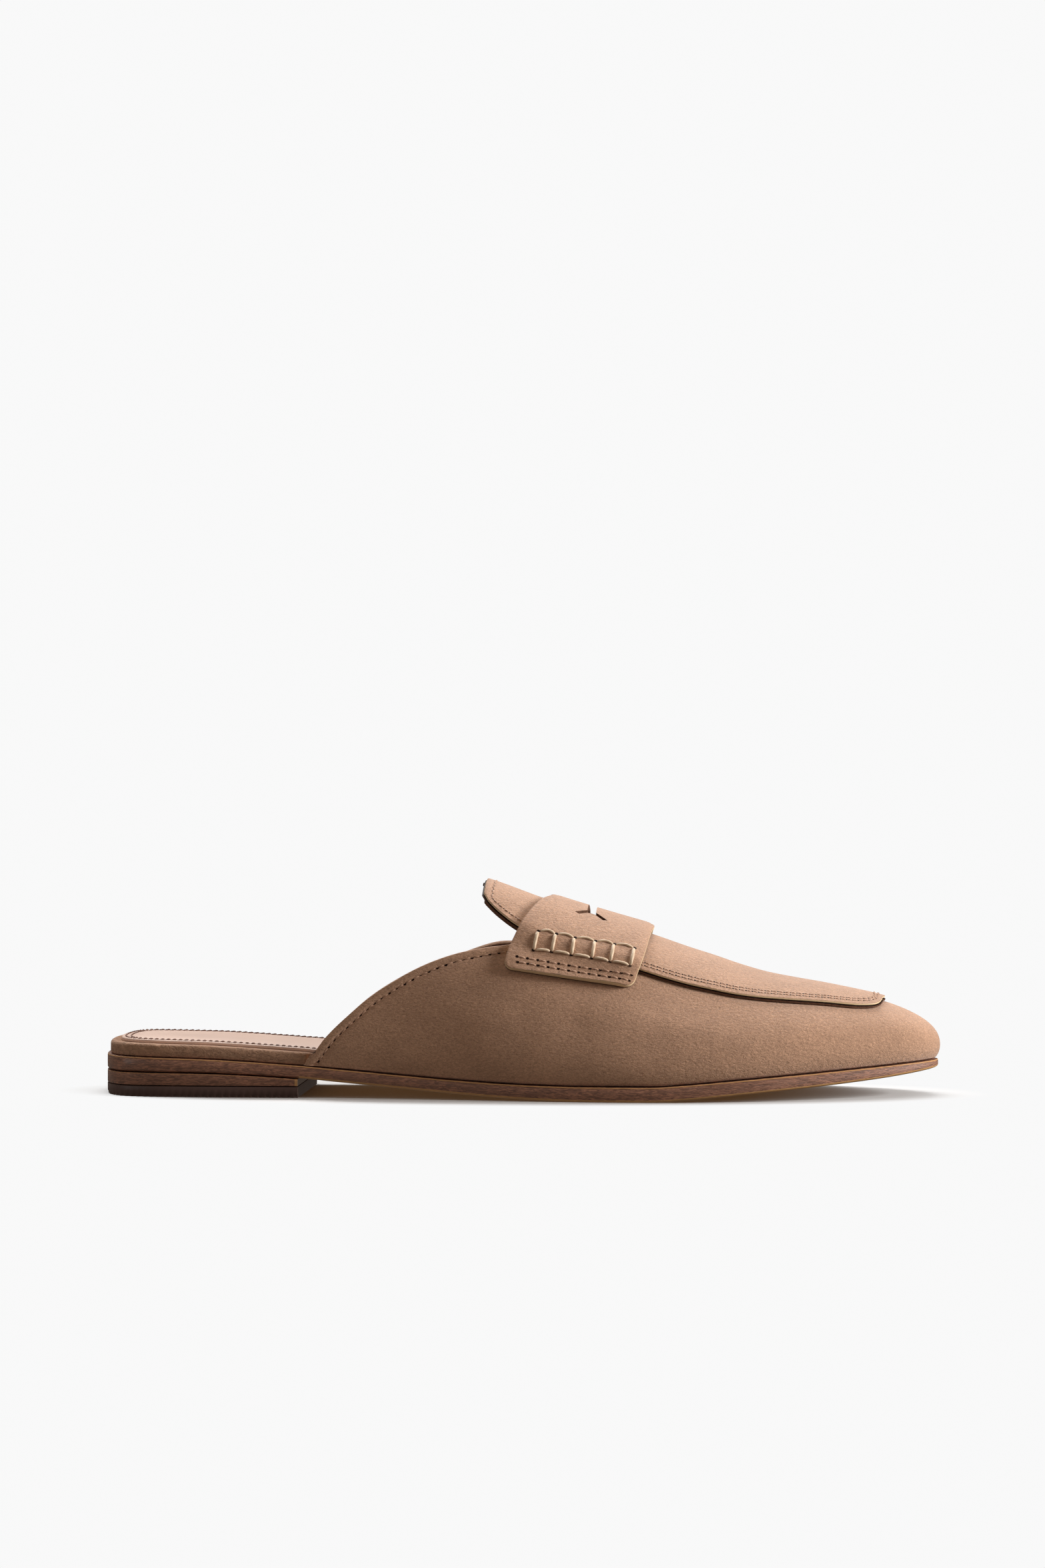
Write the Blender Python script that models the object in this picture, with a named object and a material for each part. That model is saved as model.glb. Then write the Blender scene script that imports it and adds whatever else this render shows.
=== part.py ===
"""Penny loafer mule: one right shoe with an open heel, standing on its own sole.

X runs from heel to toe, +Y is the inner side of the foot and Z is up from the floor.
The upper, the apron with its tongue and the saddle strap are all cut from one form of
the last. Every edge on that form is given as a share of the girth, from the feather
line (0) to the ridge of the instep (1), so the pieces follow when a size changes.
"""
import math
from collections import namedtuple

import bmesh
import bpy
import numpy as np

# Driving sizes in metres
SOLE_LENGTH = 0.2613
BALL_WIDTH = 0.0850
INSTEP_HEIGHT = 0.0595
HEEL_HEIGHT = 0.0078
TOE_SPRING = 0.0086
OUTSOLE_THICKNESS = 0.0042
OUTSOLE_BEVEL = 0.0011
HEEL_LENGTH = 0.0628
TOP_LIFT_THICKNESS = 0.0034
FOOTBED_THICKNESS = 0.0039
FOOTBED_MARGIN = 0.0010
FOOTBED_ROUND = 0.0010
INSOLE_THICKNESS = 0.0008
INSOLE_MARGIN = 0.0034
FEATHER_MARGIN = 0.0010
UPPER_WALL = 0.0018
UPPER_START = 0.0645
APRON_THICKNESS = 0.0015
TONGUE_TIP = 0.1193
LINING_THICKNESS = 0.0011
LINING_SETBACK = 0.0006
STRAP_THICKNESS = 0.0020
STRAP_BACK = 0.1392
STRAP_WIDTH = 0.0318
STRAP_SWEEP = 0.0122
STRAP_LIFT = 0.0010
STRAP_CORNER = 0.0026
SLOT_PLACE = 0.1530
SLOT_WIDTH = 0.0027
SLOT_LENGTH = 0.0290
SLOT_SLIT = 0.0014
SLOT_SPREAD = 0.0088
SLOT_FORK = 0.0046
SLOT_POINT_WIDTH = 0.0024
SLOT_POINT_BACK = 0.0022
WALL_BULGE = 0.0024
ROUND_END = 0.0300
SEAT_GAP = 0.0003

# Mesh steps
PLATE_STEPS = 40
HEEL_STEPS = 14
UPPER_STEPS = 30
UPPER_RISES = 10
APRON_RISES = 5
STRAP_STEPS_LONG = 12
STRAP_STEPS_ACROSS = 13
LINING_STEPS = 6
MERIDIAN_POINTS = 60
MERIDIAN_PACKING = 1.6
OUTLINE_POINTS = 480
CORNER_STEPS = 3
MERGE = 0.00001

# Plan outline of the sole: shares of its length, half widths as shares of the ball width
Outline = namedtuple("Outline", "along outer inner")
SOLE_OUTLINE = (
    Outline(0.000, 0.000, 0.000),
    Outline(0.006, 0.180, 0.180),
    Outline(0.023, 0.280, 0.276),
    Outline(0.057, 0.330, 0.322),
    Outline(0.115, 0.348, 0.338),
    Outline(0.240, 0.350, 0.330),
    Outline(0.380, 0.384, 0.318),
    Outline(0.500, 0.448, 0.352),
    Outline(0.560, 0.476, 0.391),
    Outline(0.620, 0.494, 0.434),
    Outline(0.680, 0.496, 0.470),
    Outline(0.740, 0.476, 0.487),
    Outline(0.800, 0.434, 0.468),
    Outline(0.850, 0.378, 0.420),
    Outline(0.900, 0.306, 0.346),
    Outline(0.955, 0.204, 0.234),
    Outline(0.978, 0.143, 0.163),
    Outline(1.000, 0.000, 0.000),
)

# Side line of the sole: lift as shares of heel height and toe spring, and its thickness
SoleLine = namedtuple("SoleLine", "along heel toe thickness")
SOLE_LINE = (
    SoleLine(0.000, 1.000, 0.000, 1.140),
    SoleLine(0.110, 0.980, 0.000, 1.020),
    SoleLine(0.240, 0.780, 0.000, 0.930),
    SoleLine(0.287, 0.640, 0.000, 0.940),
    SoleLine(0.432, 0.230, 0.000, 0.990),
    SoleLine(0.515, 0.060, 0.000, 1.060),
    SoleLine(0.580, 0.000, 0.000, 1.100),
    SoleLine(0.660, 0.000, 0.000, 1.110),
    SoleLine(0.705, 0.000, 0.085, 1.100),
    SoleLine(0.758, 0.000, 0.235, 1.070),
    SoleLine(0.815, 0.000, 0.390, 1.030),
    SoleLine(0.870, 0.000, 0.540, 0.980),
    SoleLine(0.938, 0.000, 0.750, 0.860),
    SoleLine(1.000, 0.000, 1.000, 0.600),
)

# Last form: ridge height as a share of the instep height, sideways place of the ridge as a
# share of the ball width, roundness of the section, and how far and how soon its wall
# swells past the feather line
LastRow = namedtuple("LastRow", "along ridge offset roundness bulge tuck")
LAST_FORM = (
    LastRow(0.200, 1.370, 0.000, 1.00, 0.30, 0.080),
    LastRow(0.300, 1.270, 0.005, 1.00, 0.50, 0.080),
    LastRow(0.400, 1.165, 0.012, 1.04, 0.75, 0.080),
    LastRow(0.456, 1.102, 0.018, 1.08, 0.85, 0.080),
    LastRow(0.521, 1.000, 0.022, 1.14, 0.95, 0.080),
    LastRow(0.593, 0.897, 0.024, 1.24, 1.00, 0.080),
    LastRow(0.666, 0.790, 0.024, 1.26, 1.05, 0.080),
    LastRow(0.698, 0.741, 0.024, 1.22, 1.05, 0.080),
    LastRow(0.730, 0.696, 0.024, 1.16, 1.05, 0.078),
    LastRow(0.762, 0.648, 0.024, 1.08, 1.05, 0.074),
    LastRow(0.794, 0.608, 0.023, 1.00, 1.03, 0.070),
    LastRow(0.827, 0.580, 0.022, 0.92, 1.00, 0.064),
    LastRow(0.859, 0.556, 0.021, 0.84, 0.95, 0.056),
    LastRow(0.891, 0.529, 0.020, 0.76, 0.88, 0.048),
    LastRow(0.930, 0.494, 0.019, 0.66, 0.80, 0.040),
    LastRow(0.965, 0.462, 0.018, 0.58, 0.80, 0.034),
    LastRow(1.000, 0.430, 0.018, 0.53, 0.80, 0.030),
)
FAN_START = 0.785
FAN_POLE = 0.911

# Edges on the last, as shares of the girth from feather line to ridge
Edge = namedtuple("Edge", "along share")
COLLAR_EDGE = (
    Edge(0.247, 0.000),
    Edge(0.257, 0.039),
    Edge(0.274, 0.118),
    Edge(0.303, 0.220),
    Edge(0.329, 0.303),
    Edge(0.361, 0.384),
    Edge(0.393, 0.453),
    Edge(0.425, 0.507),
    Edge(0.465, 0.559),
    Edge(0.494, 0.598),
    Edge(0.513, 0.642),
    Edge(0.536, 0.754),
    Edge(0.550, 0.860),
    Edge(0.560, 1.000),
)
APRON_EDGE = (
    Edge(0.456, 0.830),
    Edge(0.459, 0.800),
    Edge(0.465, 0.773),
    Edge(0.476, 0.736),
    Edge(0.503, 0.679),
    Edge(0.560, 0.625),
    Edge(0.646, 0.578),
    Edge(0.718, 0.532),
    Edge(0.760, 0.518),
    Edge(0.811, 0.528),
    Edge(0.873, 0.540),
    Edge(0.903, 0.544),
    Edge(0.922, 0.562),
    Edge(0.934, 0.582),
    Edge(0.945, 0.620),
    Edge(0.962, 0.710),
    Edge(0.980, 0.790),
    Edge(1.000, 0.822),
)
STRAP_END = (
    Edge(0.486, 0.470),
    Edge(0.637, 0.470),
)

# The strap comes down off the apron over this stretch of the girth past the apron's edge
STRAP_SETTLE_START = -0.02
STRAP_SETTLE_END = 0.12

# Strap edges from its end (0) to the ridge (1), as shares of the sweep
StrapRow = namedtuple("StrapRow", "rise back front")
STRAP_EDGES = (
    StrapRow(0.00, -1.00, -0.360),
    StrapRow(0.13, -0.93, -0.260),
    StrapRow(0.29, -0.77, -0.160),
    StrapRow(0.53, -0.49, -0.080),
    StrapRow(0.75, -0.24, -0.035),
    StrapRow(0.90, -0.06, -0.008),
    StrapRow(1.00, 0.00, 0.000),
    StrapRow(1.10, -0.06, -0.008),
)

# Extra margins of footbed and insole sock: shares of the room that the upper's wall takes
Margin = namedtuple("Margin", "along footbed sock")
FOOTBED_STEP = (
    Margin(0.000, 0.0, 0.0),
    Margin(0.2370, 0.0, 0.0),
    Margin(0.2430, 1.0, 0.0),
    Margin(0.8500, 1.0, 0.0),
    Margin(1.0000, 2.0, 1.0),
)


def column(table, name):
    """One named column of a table."""
    return np.array([getattr(row, name) for row in table], dtype=float)


def smooth_line(knots, values, at, swing=False):
    """Smooth line through the knots, which may swing past them only where that is asked."""
    step = np.diff(knots)
    slope = np.diff(values) / step
    tangent = np.zeros(len(knots))
    tangent[0] = slope[0]
    tangent[-1] = slope[-1]
    for i in range(1, len(knots) - 1):
        if swing:
            tangent[i] = (slope[i - 1] * step[i] + slope[i] * step[i - 1]) / (step[i - 1] + step[i])
        elif slope[i - 1] * slope[i] > 0:
            before = 2 * step[i] + step[i - 1]
            after = step[i] + 2 * step[i - 1]
            tangent[i] = (before + after) / (before / slope[i - 1] + after / slope[i])
    at = np.clip(at, knots[0], knots[-1])
    i = np.clip(np.searchsorted(knots, at, side="right") - 1, 0, len(knots) - 2)
    t = (at - knots[i]) / step[i]
    start = (1 + 2 * t) * (1 - t) ** 2 * values[i] + t * (1 - t) ** 2 * step[i] * tangent[i]
    end = t * t * (3 - 2 * t) * values[i + 1] + t * t * (t - 1) * step[i] * tangent[i + 1]
    return start + end


def read(table, name, x):
    """A column of a table at a place x along the sole, in metres."""
    return smooth_line(column(table, "along"), column(table, name), np.asarray(x) / SOLE_LENGTH)


def outsole_bottom(x):
    """Height of the outsole's underside."""
    return HEEL_HEIGHT * read(SOLE_LINE, "heel", x) + TOE_SPRING * read(SOLE_LINE, "toe", x)


def outsole_top(x):
    """Height of the outsole's upper face, where the upper and the footbed seat."""
    return outsole_bottom(x) + OUTSOLE_THICKNESS * read(SOLE_LINE, "thickness", x)


def footbed_top(x):
    """Height of the footbed's upper face."""
    return outsole_top(x) + SEAT_GAP + FOOTBED_THICKNESS


def outline(margin):
    """Outer and inner side of the plan outline, heel to toe, moved in by the margin.

    The margin is a length or a function of x.
    """
    turn = np.linspace(0.0, 1.0, OUTLINE_POINTS)
    along = (1 - np.cos(math.pi * turn)) / 2
    knots = np.arccos(1 - 2 * column(SOLE_OUTLINE, "along")) / math.pi
    x = SOLE_LENGTH * along
    outer = -BALL_WIDTH * smooth_line(knots, column(SOLE_OUTLINE, "outer"), turn, swing=True)
    inner = BALL_WIDTH * smooth_line(knots, column(SOLE_OUTLINE, "inner"), turn, swing=True)
    loop_x = np.concatenate([x, x[-2:0:-1]])
    loop_y = np.concatenate([outer, inner[-2:0:-1]])
    step_x = np.roll(loop_x, -1) - np.roll(loop_x, 1)
    step_y = np.roll(loop_y, -1) - np.roll(loop_y, 1)
    size = np.hypot(step_x, step_y)
    inset = margin(loop_x) if callable(margin) else margin
    new_x = loop_x - step_y / size * inset
    new_y = loop_y + step_x / size * inset
    last = OUTLINE_POINTS - 1
    outer_side = np.column_stack([new_x[:last + 1], new_y[:last + 1]])
    back = np.concatenate([[0], np.arange(len(loop_x) - 1, last - 1, -1)])
    inner_side = np.column_stack([new_x[back], new_y[back]])
    return outer_side, inner_side


FEATHER = outline(FEATHER_MARGIN)
TOE_X = FEATHER[0][-1, 0]


def ridge_place(x):
    """Where the section that starts at x on the feather line meets the ridge.

    Sections stand square to the shoe behind the fan, and turn about a pole in the toe.
    """
    start = FAN_START * SOLE_LENGTH
    pole = FAN_POLE * SOLE_LENGTH
    reach = (TOE_X - start) / (pole - start)
    q = np.clip((x - start) / (TOE_X - start), 0.0, 1.0)
    return np.where(x < start, x, start + (pole - start) * (1 - (1 - q) ** reach))


def side_normal(side, x):
    """Outward direction of the feather line, in plan."""
    if x >= TOE_X:
        return np.array([1.0, 0.0])
    line = FEATHER[side]
    step = np.gradient(line, axis=0)
    step_x, step_y = (np.interp(x, line[:, 0], step[:, k]) for k in (0, 1))
    outward = -1 if side == 0 else 1
    return np.array([-outward * step_y, outward * step_x]) / np.hypot(step_x, step_y)


def meridian(side, x):
    """Points up one side of the last, from the feather line at x to the ridge."""
    foot = np.array([x, np.interp(x, FEATHER[side][:, 0], FEATHER[side][:, 1])])
    top_x = float(ridge_place(x))
    top = np.array([top_x, BALL_WIDTH * read(LAST_FORM, "offset", top_x)])
    base = float(outsole_top(x)) + SEAT_GAP
    turn = np.linspace(0.0, 1.0, MERIDIAN_POINTS) ** MERIDIAN_PACKING * math.pi / 2
    lean = 1 - np.cos(turn)
    share = np.sin(turn) ** float(read(LAST_FORM, "roundness", x))
    plan = foot + np.outer(lean, top - foot)
    ridge = INSTEP_HEIGHT * read(LAST_FORM, "ridge", plan[:, 0])
    z = base + (ridge - base) * share
    tuck = float(read(LAST_FORM, "tuck", x)) * INSTEP_HEIGHT
    bulge = WALL_BULGE * float(read(LAST_FORM, "bulge", x))
    swell = bulge * (1 - np.exp(-(z - base) / tuck)) * np.cos(turn)
    plan = plan + np.outer(swell, side_normal(side, x))
    return np.column_stack([plan, z])


def path_lengths(points):
    """Length along a path up to each of its points."""
    steps = np.linalg.norm(np.diff(points, axis=0), axis=1)
    return np.concatenate([[0.0], np.cumsum(steps)])


MERIDIANS = {}


def measured_meridian(side, x):
    """A meridian with the length up to each of its points, kept for the next call."""
    key = (side, round(x, 7))
    if key not in MERIDIANS:
        points = meridian(side, x)
        MERIDIANS[key] = (points, path_lengths(points))
    return MERIDIANS[key]


def last_point(x, girth):
    """A point on the last: girth runs from -1 (outer feather line) over 0 (ridge) to 1."""
    points, length = measured_meridian(0 if girth <= 0 else 1, min(float(x), TOE_X))
    return [np.interp((1 - abs(girth)) * length[-1], length, points[:, k]) for k in range(3)]


def collar_share(x):
    """Share of the girth that the upper reaches at x: all of it past the throat."""
    return read(COLLAR_EDGE, "share", x)


def apron_share(x):
    """Share of the girth where the apron's edge runs at x."""
    return read(APRON_EDGE, "share", x)


def stations(first, last, count, extra=()):
    """Places along the sole, closer together at both round ends."""
    turn = np.linspace(0.0, math.pi, count + 1)
    places = first + (last - first) * (1 - np.cos(turn)) / 2
    return np.array(sorted(set(np.round(np.concatenate([places, extra]), 7))))


def new_sheet(columns, rows):
    """A grid whose points remember their column and row."""
    bm = bmesh.new()
    bmesh.ops.create_grid(bm, x_segments=columns, y_segments=rows, size=0.5)
    column_layer = bm.verts.layers.int.new("column")
    row_layer = bm.verts.layers.int.new("row")
    for vert in bm.verts:
        vert[column_layer] = round((vert.co.x + 0.5) * columns)
        vert[row_layer] = round((vert.co.y + 0.5) * rows)
    return bm, column_layer, row_layer


def place_verts(verts, layers, place):
    """Moves each point of a sheet to the place that its column and row give."""
    for vert in verts:
        vert.co = place(vert[layers[0]], vert[layers[1]])


def finish(name, bm, colour, roughness, smooth_angle=40):
    """Closes a mesh, turns it outwards and makes the named object of it."""
    bmesh.ops.remove_doubles(bm, verts=bm.verts, dist=MERGE)
    bmesh.ops.recalc_face_normals(bm, faces=bm.faces)
    mesh = bpy.data.meshes.new(name)
    bm.to_mesh(mesh)
    bm.free()
    mesh.shade_smooth()
    mesh.set_sharp_from_angle(angle=math.radians(smooth_angle))
    material = bpy.data.materials.new(name)
    material.use_nodes = True
    shader = material.node_tree.nodes["Principled BSDF"]
    shader.inputs["Base Color"].default_value = (*colour, 1.0)
    shader.inputs["Roughness"].default_value = roughness
    shader.inputs["Metallic"].default_value = 0.0
    mesh.materials.append(material)
    part = bpy.data.objects.new(name, mesh)
    bpy.context.scene.collection.objects.link(part)
    return part


def plate(name, places, rings, colour, roughness):
    """A closed plate that follows the sole: rings of (margin, height) from bottom to top."""
    bm, column_layer, row_layer = new_sheet(len(places) - 1, 1)
    layers = (column_layer, row_layer)

    def ring_place(margin, height):
        sides = outline(margin)
        heel = max(side[0, 0] for side in sides)
        toe = min(side[-1, 0] for side in sides)

        def place(col, row):
            x = np.interp(places[col], (0.0, ROUND_END, SOLE_LENGTH - ROUND_END, SOLE_LENGTH),
                          (heel, ROUND_END, SOLE_LENGTH - ROUND_END, toe))
            line = sides[row]
            return (x, np.interp(x, line[:, 0], line[:, 1]), float(height(x)))
        return place

    place_verts(bm.verts, layers, ring_place(*rings[0]))
    top = list(bm.faces)
    for level, ring in enumerate(rings[1:]):
        grown = bmesh.ops.extrude_face_region(bm, geom=top, use_keep_orig=True)
        if level > 0:
            bmesh.ops.delete(bm, geom=top, context="FACES")
        top = [item for item in grown["geom"] if isinstance(item, bmesh.types.BMFace)]
        verts = [item for item in grown["geom"] if isinstance(item, bmesh.types.BMVert)]
        place_verts(verts, layers, ring_place(*ring))
    return finish(name, bm, colour, roughness)


def shell(name, bm, inner, outer, colour, roughness, seat=None):
    """Gives a skin on the last its thickness, between two heights above the last."""
    bmesh.ops.remove_doubles(bm, verts=bm.verts, dist=MERGE)
    bmesh.ops.recalc_face_normals(bm, faces=bm.faces)
    bm.normal_update()
    upward = sum(face.normal.z * face.calc_area() for face in bm.faces)
    turned = 1.0 if upward > 0 else -1.0
    skin = {tuple(vert.co): (vert, vert.co.copy(), vert.normal * turned) for vert in bm.verts}
    grown = bmesh.ops.extrude_face_region(bm, geom=list(bm.faces), use_keep_orig=True)
    for item in grown["geom"]:
        if isinstance(item, bmesh.types.BMVert):
            vert, co, normal = skin[tuple(item.co)]
            item.co = co + normal * outer(vert)
    for vert, co, normal in skin.values():
        vert.co = co + normal * inner(vert)
        if seat is not None and seat(co):
            vert.co.z = co.z
    return finish(name, bm, colour, roughness)


def skin_sheet(places, low, high, rises):
    """A skin on the last over both sides of the toe, between two girth shares."""
    count = len(places) - 1
    bm, column_layer, row_layer = new_sheet(2 * count, rises)

    def place(col, row):
        outer_side = col <= count
        x = places[col] if outer_side else places[2 * count - col]
        share = low(x) + (high(x) - low(x)) * row / rises
        return last_point(x, -(1 - share) if outer_side else 1 - share)

    place_verts(bm.verts, (column_layer, row_layer), place)
    return bm


def constant(value):
    """A function that gives the same value everywhere."""
    return lambda item: value


def build_outsole():
    """Outsole with its arch, its toe spring and a bevelled lower edge."""
    places = stations(0.0, SOLE_LENGTH, PLATE_STEPS, (HEEL_LENGTH,) + FLAT_SPOT)
    rings = (
        (OUTSOLE_BEVEL, outsole_bottom),
        (0.0, lambda x: outsole_bottom(x) + OUTSOLE_BEVEL / 2),
        (0.0, lambda x: outsole_top(x) - OUTSOLE_BEVEL / 4),
        (OUTSOLE_BEVEL / 4, outsole_top),
    )
    return plate("outsole", places, rings, (0.14, 0.06, 0.035), 0.45)


def build_heel():
    """Stacked heel wedge and the rubber top lift under it."""
    places = stations(0.0, 2 * HEEL_LENGTH, 2 * HEEL_STEPS)
    places = np.append(places[places < HEEL_LENGTH - MERGE], HEEL_LENGTH)
    stack = (
        (0.0, constant(TOP_LIFT_THICKNESS + SEAT_GAP)),
        (0.0, lambda x: outsole_bottom(x) - SEAT_GAP),
    )
    lift = (
        (OUTSOLE_BEVEL / 2, constant(0.0)),
        (0.0, constant(OUTSOLE_BEVEL / 2)),
        (0.0, constant(TOP_LIFT_THICKNESS)),
    )
    plate("heel_stack", places, stack, (0.11, 0.05, 0.03), 0.45)
    plate("top_lift", places, lift, (0.045, 0.028, 0.022), 0.6)


WALL_ROOM = FEATHER_MARGIN + UPPER_WALL + SEAT_GAP - FOOTBED_MARGIN


def footbed_margin(x):
    """Room between the outsole's edge and the footbed's: wider inside the upper."""
    return FOOTBED_MARGIN + WALL_ROOM * read(FOOTBED_STEP, "footbed", x)


def insole_margin(x):
    """Room between the outsole's edge and the insole sock's."""
    return FOOTBED_MARGIN + INSOLE_MARGIN + WALL_ROOM * read(FOOTBED_STEP, "sock", x)


def build_footbed():
    """Wrapped footbed board with rounded edges, and the insole sock laid on it."""
    step = tuple(SOLE_LENGTH * row.along for row in FOOTBED_STEP[1:3])
    places = stations(0.0, SOLE_LENGTH, PLATE_STEPS, step)

    def seat(x):
        return outsole_top(x) + SEAT_GAP

    rings = [(lambda x: footbed_margin(x) + FOOTBED_ROUND / 2, seat),
             (footbed_margin, lambda x: seat(x) + FOOTBED_ROUND / 2)]
    for k in range(CORNER_STEPS):
        turn = math.pi / 2 * k / (CORNER_STEPS - 1)
        back = FOOTBED_ROUND * (1 - math.cos(turn))
        down = FOOTBED_ROUND * (1 - math.sin(turn))
        rings.append((lambda x, back=back: footbed_margin(x) + back,
                      lambda x, down=down: footbed_top(x) - down))
    plate("footbed", places, rings, (0.45, 0.27, 0.17), 0.95)
    sock = (
        (insole_margin, lambda x: footbed_top(x) + SEAT_GAP),
        (insole_margin, lambda x: footbed_top(x) + SEAT_GAP + INSOLE_THICKNESS),
    )
    plate("insole", places, sock, (0.70, 0.50, 0.41), 0.5)


def upper_stations(first):
    """Places along the feather line, evenly spaced on its curve up to the toe."""
    line = FEATHER[0]
    line = line[line[:, 0] >= first]
    length = path_lengths(line)
    even = np.interp(np.linspace(0, length[-1], UPPER_STEPS + 1), length, line[:, 0])
    even[0] = first
    even[-1] = TOE_X
    return even


def build_upper():
    """Vamp and quarters as one hollow wall, open at collar and throat and underneath."""
    bm = skin_sheet(upper_stations(UPPER_START), constant(0.0), collar_share, UPPER_RISES)

    def on_feather(point):
        return point.z < outsole_top(point.x) + 2 * SEAT_GAP

    shell("upper", bm, constant(-UPPER_WALL), constant(0.0), (0.49, 0.30, 0.19), 0.95,
          seat=on_feather)


def build_apron():
    """Raised apron that runs back under the strap into the free tongue."""
    bm = skin_sheet(upper_stations(TONGUE_TIP), apron_share, constant(1.0), APRON_RISES)
    shell("apron", bm, constant(SEAT_GAP), constant(SEAT_GAP + APRON_THICKNESS),
          (0.49, 0.30, 0.19), 0.95)


def throat_place(across):
    """Where the upper's throat edge crosses a line drawn along the tongue."""
    x = np.linspace(TONGUE_TIP, STRAP_BACK + STRAP_WIDTH, OUTLINE_POINTS)
    over = collar_share(x) - (1 - abs(across) * (1 - apron_share(x)))
    return x[np.argmax(over > 0)]


def build_tongue_lining():
    """Lining layer under the tongue, from its tip to the throat of the upper."""
    rows = 2 * LINING_STEPS
    bm, column_layer, row_layer = new_sheet(LINING_STEPS, rows)

    def place(col, row):
        across = 2 * row / rows - 1
        end = throat_place(across) - UPPER_WALL / 2
        start = TONGUE_TIP + LINING_SETBACK
        x = start + (end - start) * col / LINING_STEPS
        return last_point(x, across * (1 - apron_share(x)))

    place_verts(bm.verts, (column_layer, row_layer), place)
    shell("tongue_lining", bm, constant(-LINING_THICKNESS), constant(0.0),
          (0.10, 0.05, 0.035), 0.8)


def strap_place(across, along):
    """A point of the strap's skin: across from -1 to 1, along from back edge to front."""
    rise = 1 - abs(across)
    rises = column(STRAP_EDGES, "rise")
    back = STRAP_BACK + STRAP_SWEEP * float(smooth_line(rises, column(STRAP_EDGES, "back"), rise))
    front = (STRAP_BACK + STRAP_WIDTH
             + STRAP_SWEEP * float(smooth_line(rises, column(STRAP_EDGES, "front"), rise)))
    end_share = float(read(STRAP_END, "share", back + (front - back) * along))
    girth = np.sign(across) * abs(across) * (1 - end_share)
    return back, front, girth


def build_saddle_strap():
    """Saddle strap over the instep, swept and rounded at both ends, with its slot."""
    points, length = measured_meridian(0, STRAP_BACK)
    reach = length[-1] * (1 - STRAP_END[0].share)
    turns = np.linspace(0, math.pi / 2, CORNER_STEPS + 1)
    edge_rows = 1 - STRAP_CORNER / reach * (1 - np.cos(turns))
    inner_rows = np.linspace(0, edge_rows[-1], STRAP_STEPS_ACROSS + 1)[:-1]
    half = np.concatenate([inner_rows, edge_rows[::-1]])
    across_rows = np.concatenate([-half[:0:-1], half])
    bm, column_layer, row_layer = new_sheet(STRAP_STEPS_LONG, len(across_rows) - 1)

    def place(col, row):
        across = across_rows[row]
        back, front, girth = strap_place(across, col / STRAP_STEPS_LONG)
        from_end = (1 - abs(across)) * reach
        short = max(STRAP_CORNER - from_end, 0.0)
        cut = STRAP_CORNER - math.sqrt(STRAP_CORNER ** 2 - short ** 2)
        x = back + cut + (front - back - 2 * cut) * col / STRAP_STEPS_LONG
        return last_point(x, girth)

    place_verts(bm.verts, (column_layer, row_layer), place)

    def raised(vert):
        along = vert[column_layer] / STRAP_STEPS_LONG
        back, front, girth = strap_place(across_rows[vert[row_layer]], along)
        outside = apron_share(vert.co.x) - (1 - abs(girth))
        ramp = (STRAP_SETTLE_END - outside) / (STRAP_SETTLE_END - STRAP_SETTLE_START)
        ramp = min(max(ramp, 0.0), 1.0)
        ramp = ramp * ramp * (3 - 2 * ramp)
        return SEAT_GAP + ramp * (SEAT_GAP + APRON_THICKNESS + STRAP_LIFT * along ** 2)

    strap = shell("saddle_strap", bm, raised, lambda vert: raised(vert) + STRAP_THICKNESS,
                  (0.49, 0.30, 0.19), 0.95)
    cut = strap.modifiers.new("slot", "BOOLEAN")
    cut.operation = "DIFFERENCE"
    cut.solver = "EXACT"
    cut.object = build_slot_cutter()


def build_slot_cutter():
    """Slot across the ridge whose ends fork into two short slits."""
    end = SLOT_LENGTH / 2
    spread = SLOT_SPREAD / 2
    fork = end - SLOT_FORK
    quarter = [(SLOT_WIDTH / 2, fork), (spread + SLOT_SLIT / 2, end - SLOT_SLIT / 2),
               (spread - SLOT_SLIT / 2, end), (SLOT_POINT_WIDTH / 2, fork + SLOT_POINT_BACK)]
    loop = quarter + [(-x, y) for x, y in quarter[::-1]]
    loop = loop + [(-x, -y) for x, y in loop]
    ridge_y = BALL_WIDTH * float(read(LAST_FORM, "offset", SLOT_PLACE))
    bm = bmesh.new()
    low = INSTEP_HEIGHT / 2
    verts = [bm.verts.new((SLOT_PLACE + x, ridge_y + y, low)) for x, y in loop]
    face = bm.faces.new(verts)
    grown = bmesh.ops.extrude_face_region(bm, geom=[face], use_keep_orig=True)
    top = [item for item in grown["geom"] if isinstance(item, bmesh.types.BMVert)]
    bmesh.ops.translate(bm, verts=top, vec=(0.0, 0.0, INSTEP_HEIGHT))
    cutter = finish("slot_cutter", bm, (0.5, 0.5, 0.5), 0.5)
    cutter.hide_render = True
    cutter.display_type = "WIRE"
    return cutter


def centre_on_origin():
    """Hangs every piece on one empty, so the origin lies under the middle of the shoe."""
    pieces = [item for item in bpy.data.objects if item.type == "MESH"]
    points = np.array([corner.co[:] for item in pieces if not item.hide_render
                       for corner in item.data.vertices])
    middle = (points.min(axis=0) + points.max(axis=0)) / 2
    shoe = bpy.data.objects.new("mule", None)
    bpy.context.scene.collection.objects.link(shoe)
    shoe.location = (-middle[0], -middle[1], 0.0)
    for item in pieces:
        item.parent = shoe


FLAT_SPOT = tuple(SOLE_LENGTH * row.along for row in SOLE_LINE if row.heel == 0.0 and row.toe == 0.0)


def main():
    for item in list(bpy.data.objects):
        bpy.data.objects.remove(item, do_unlink=True)
    build_outsole()
    build_heel()
    build_footbed()
    build_upper()
    build_apron()
    build_tongue_lining()
    build_saddle_strap()
    centre_on_origin()


main()
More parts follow.
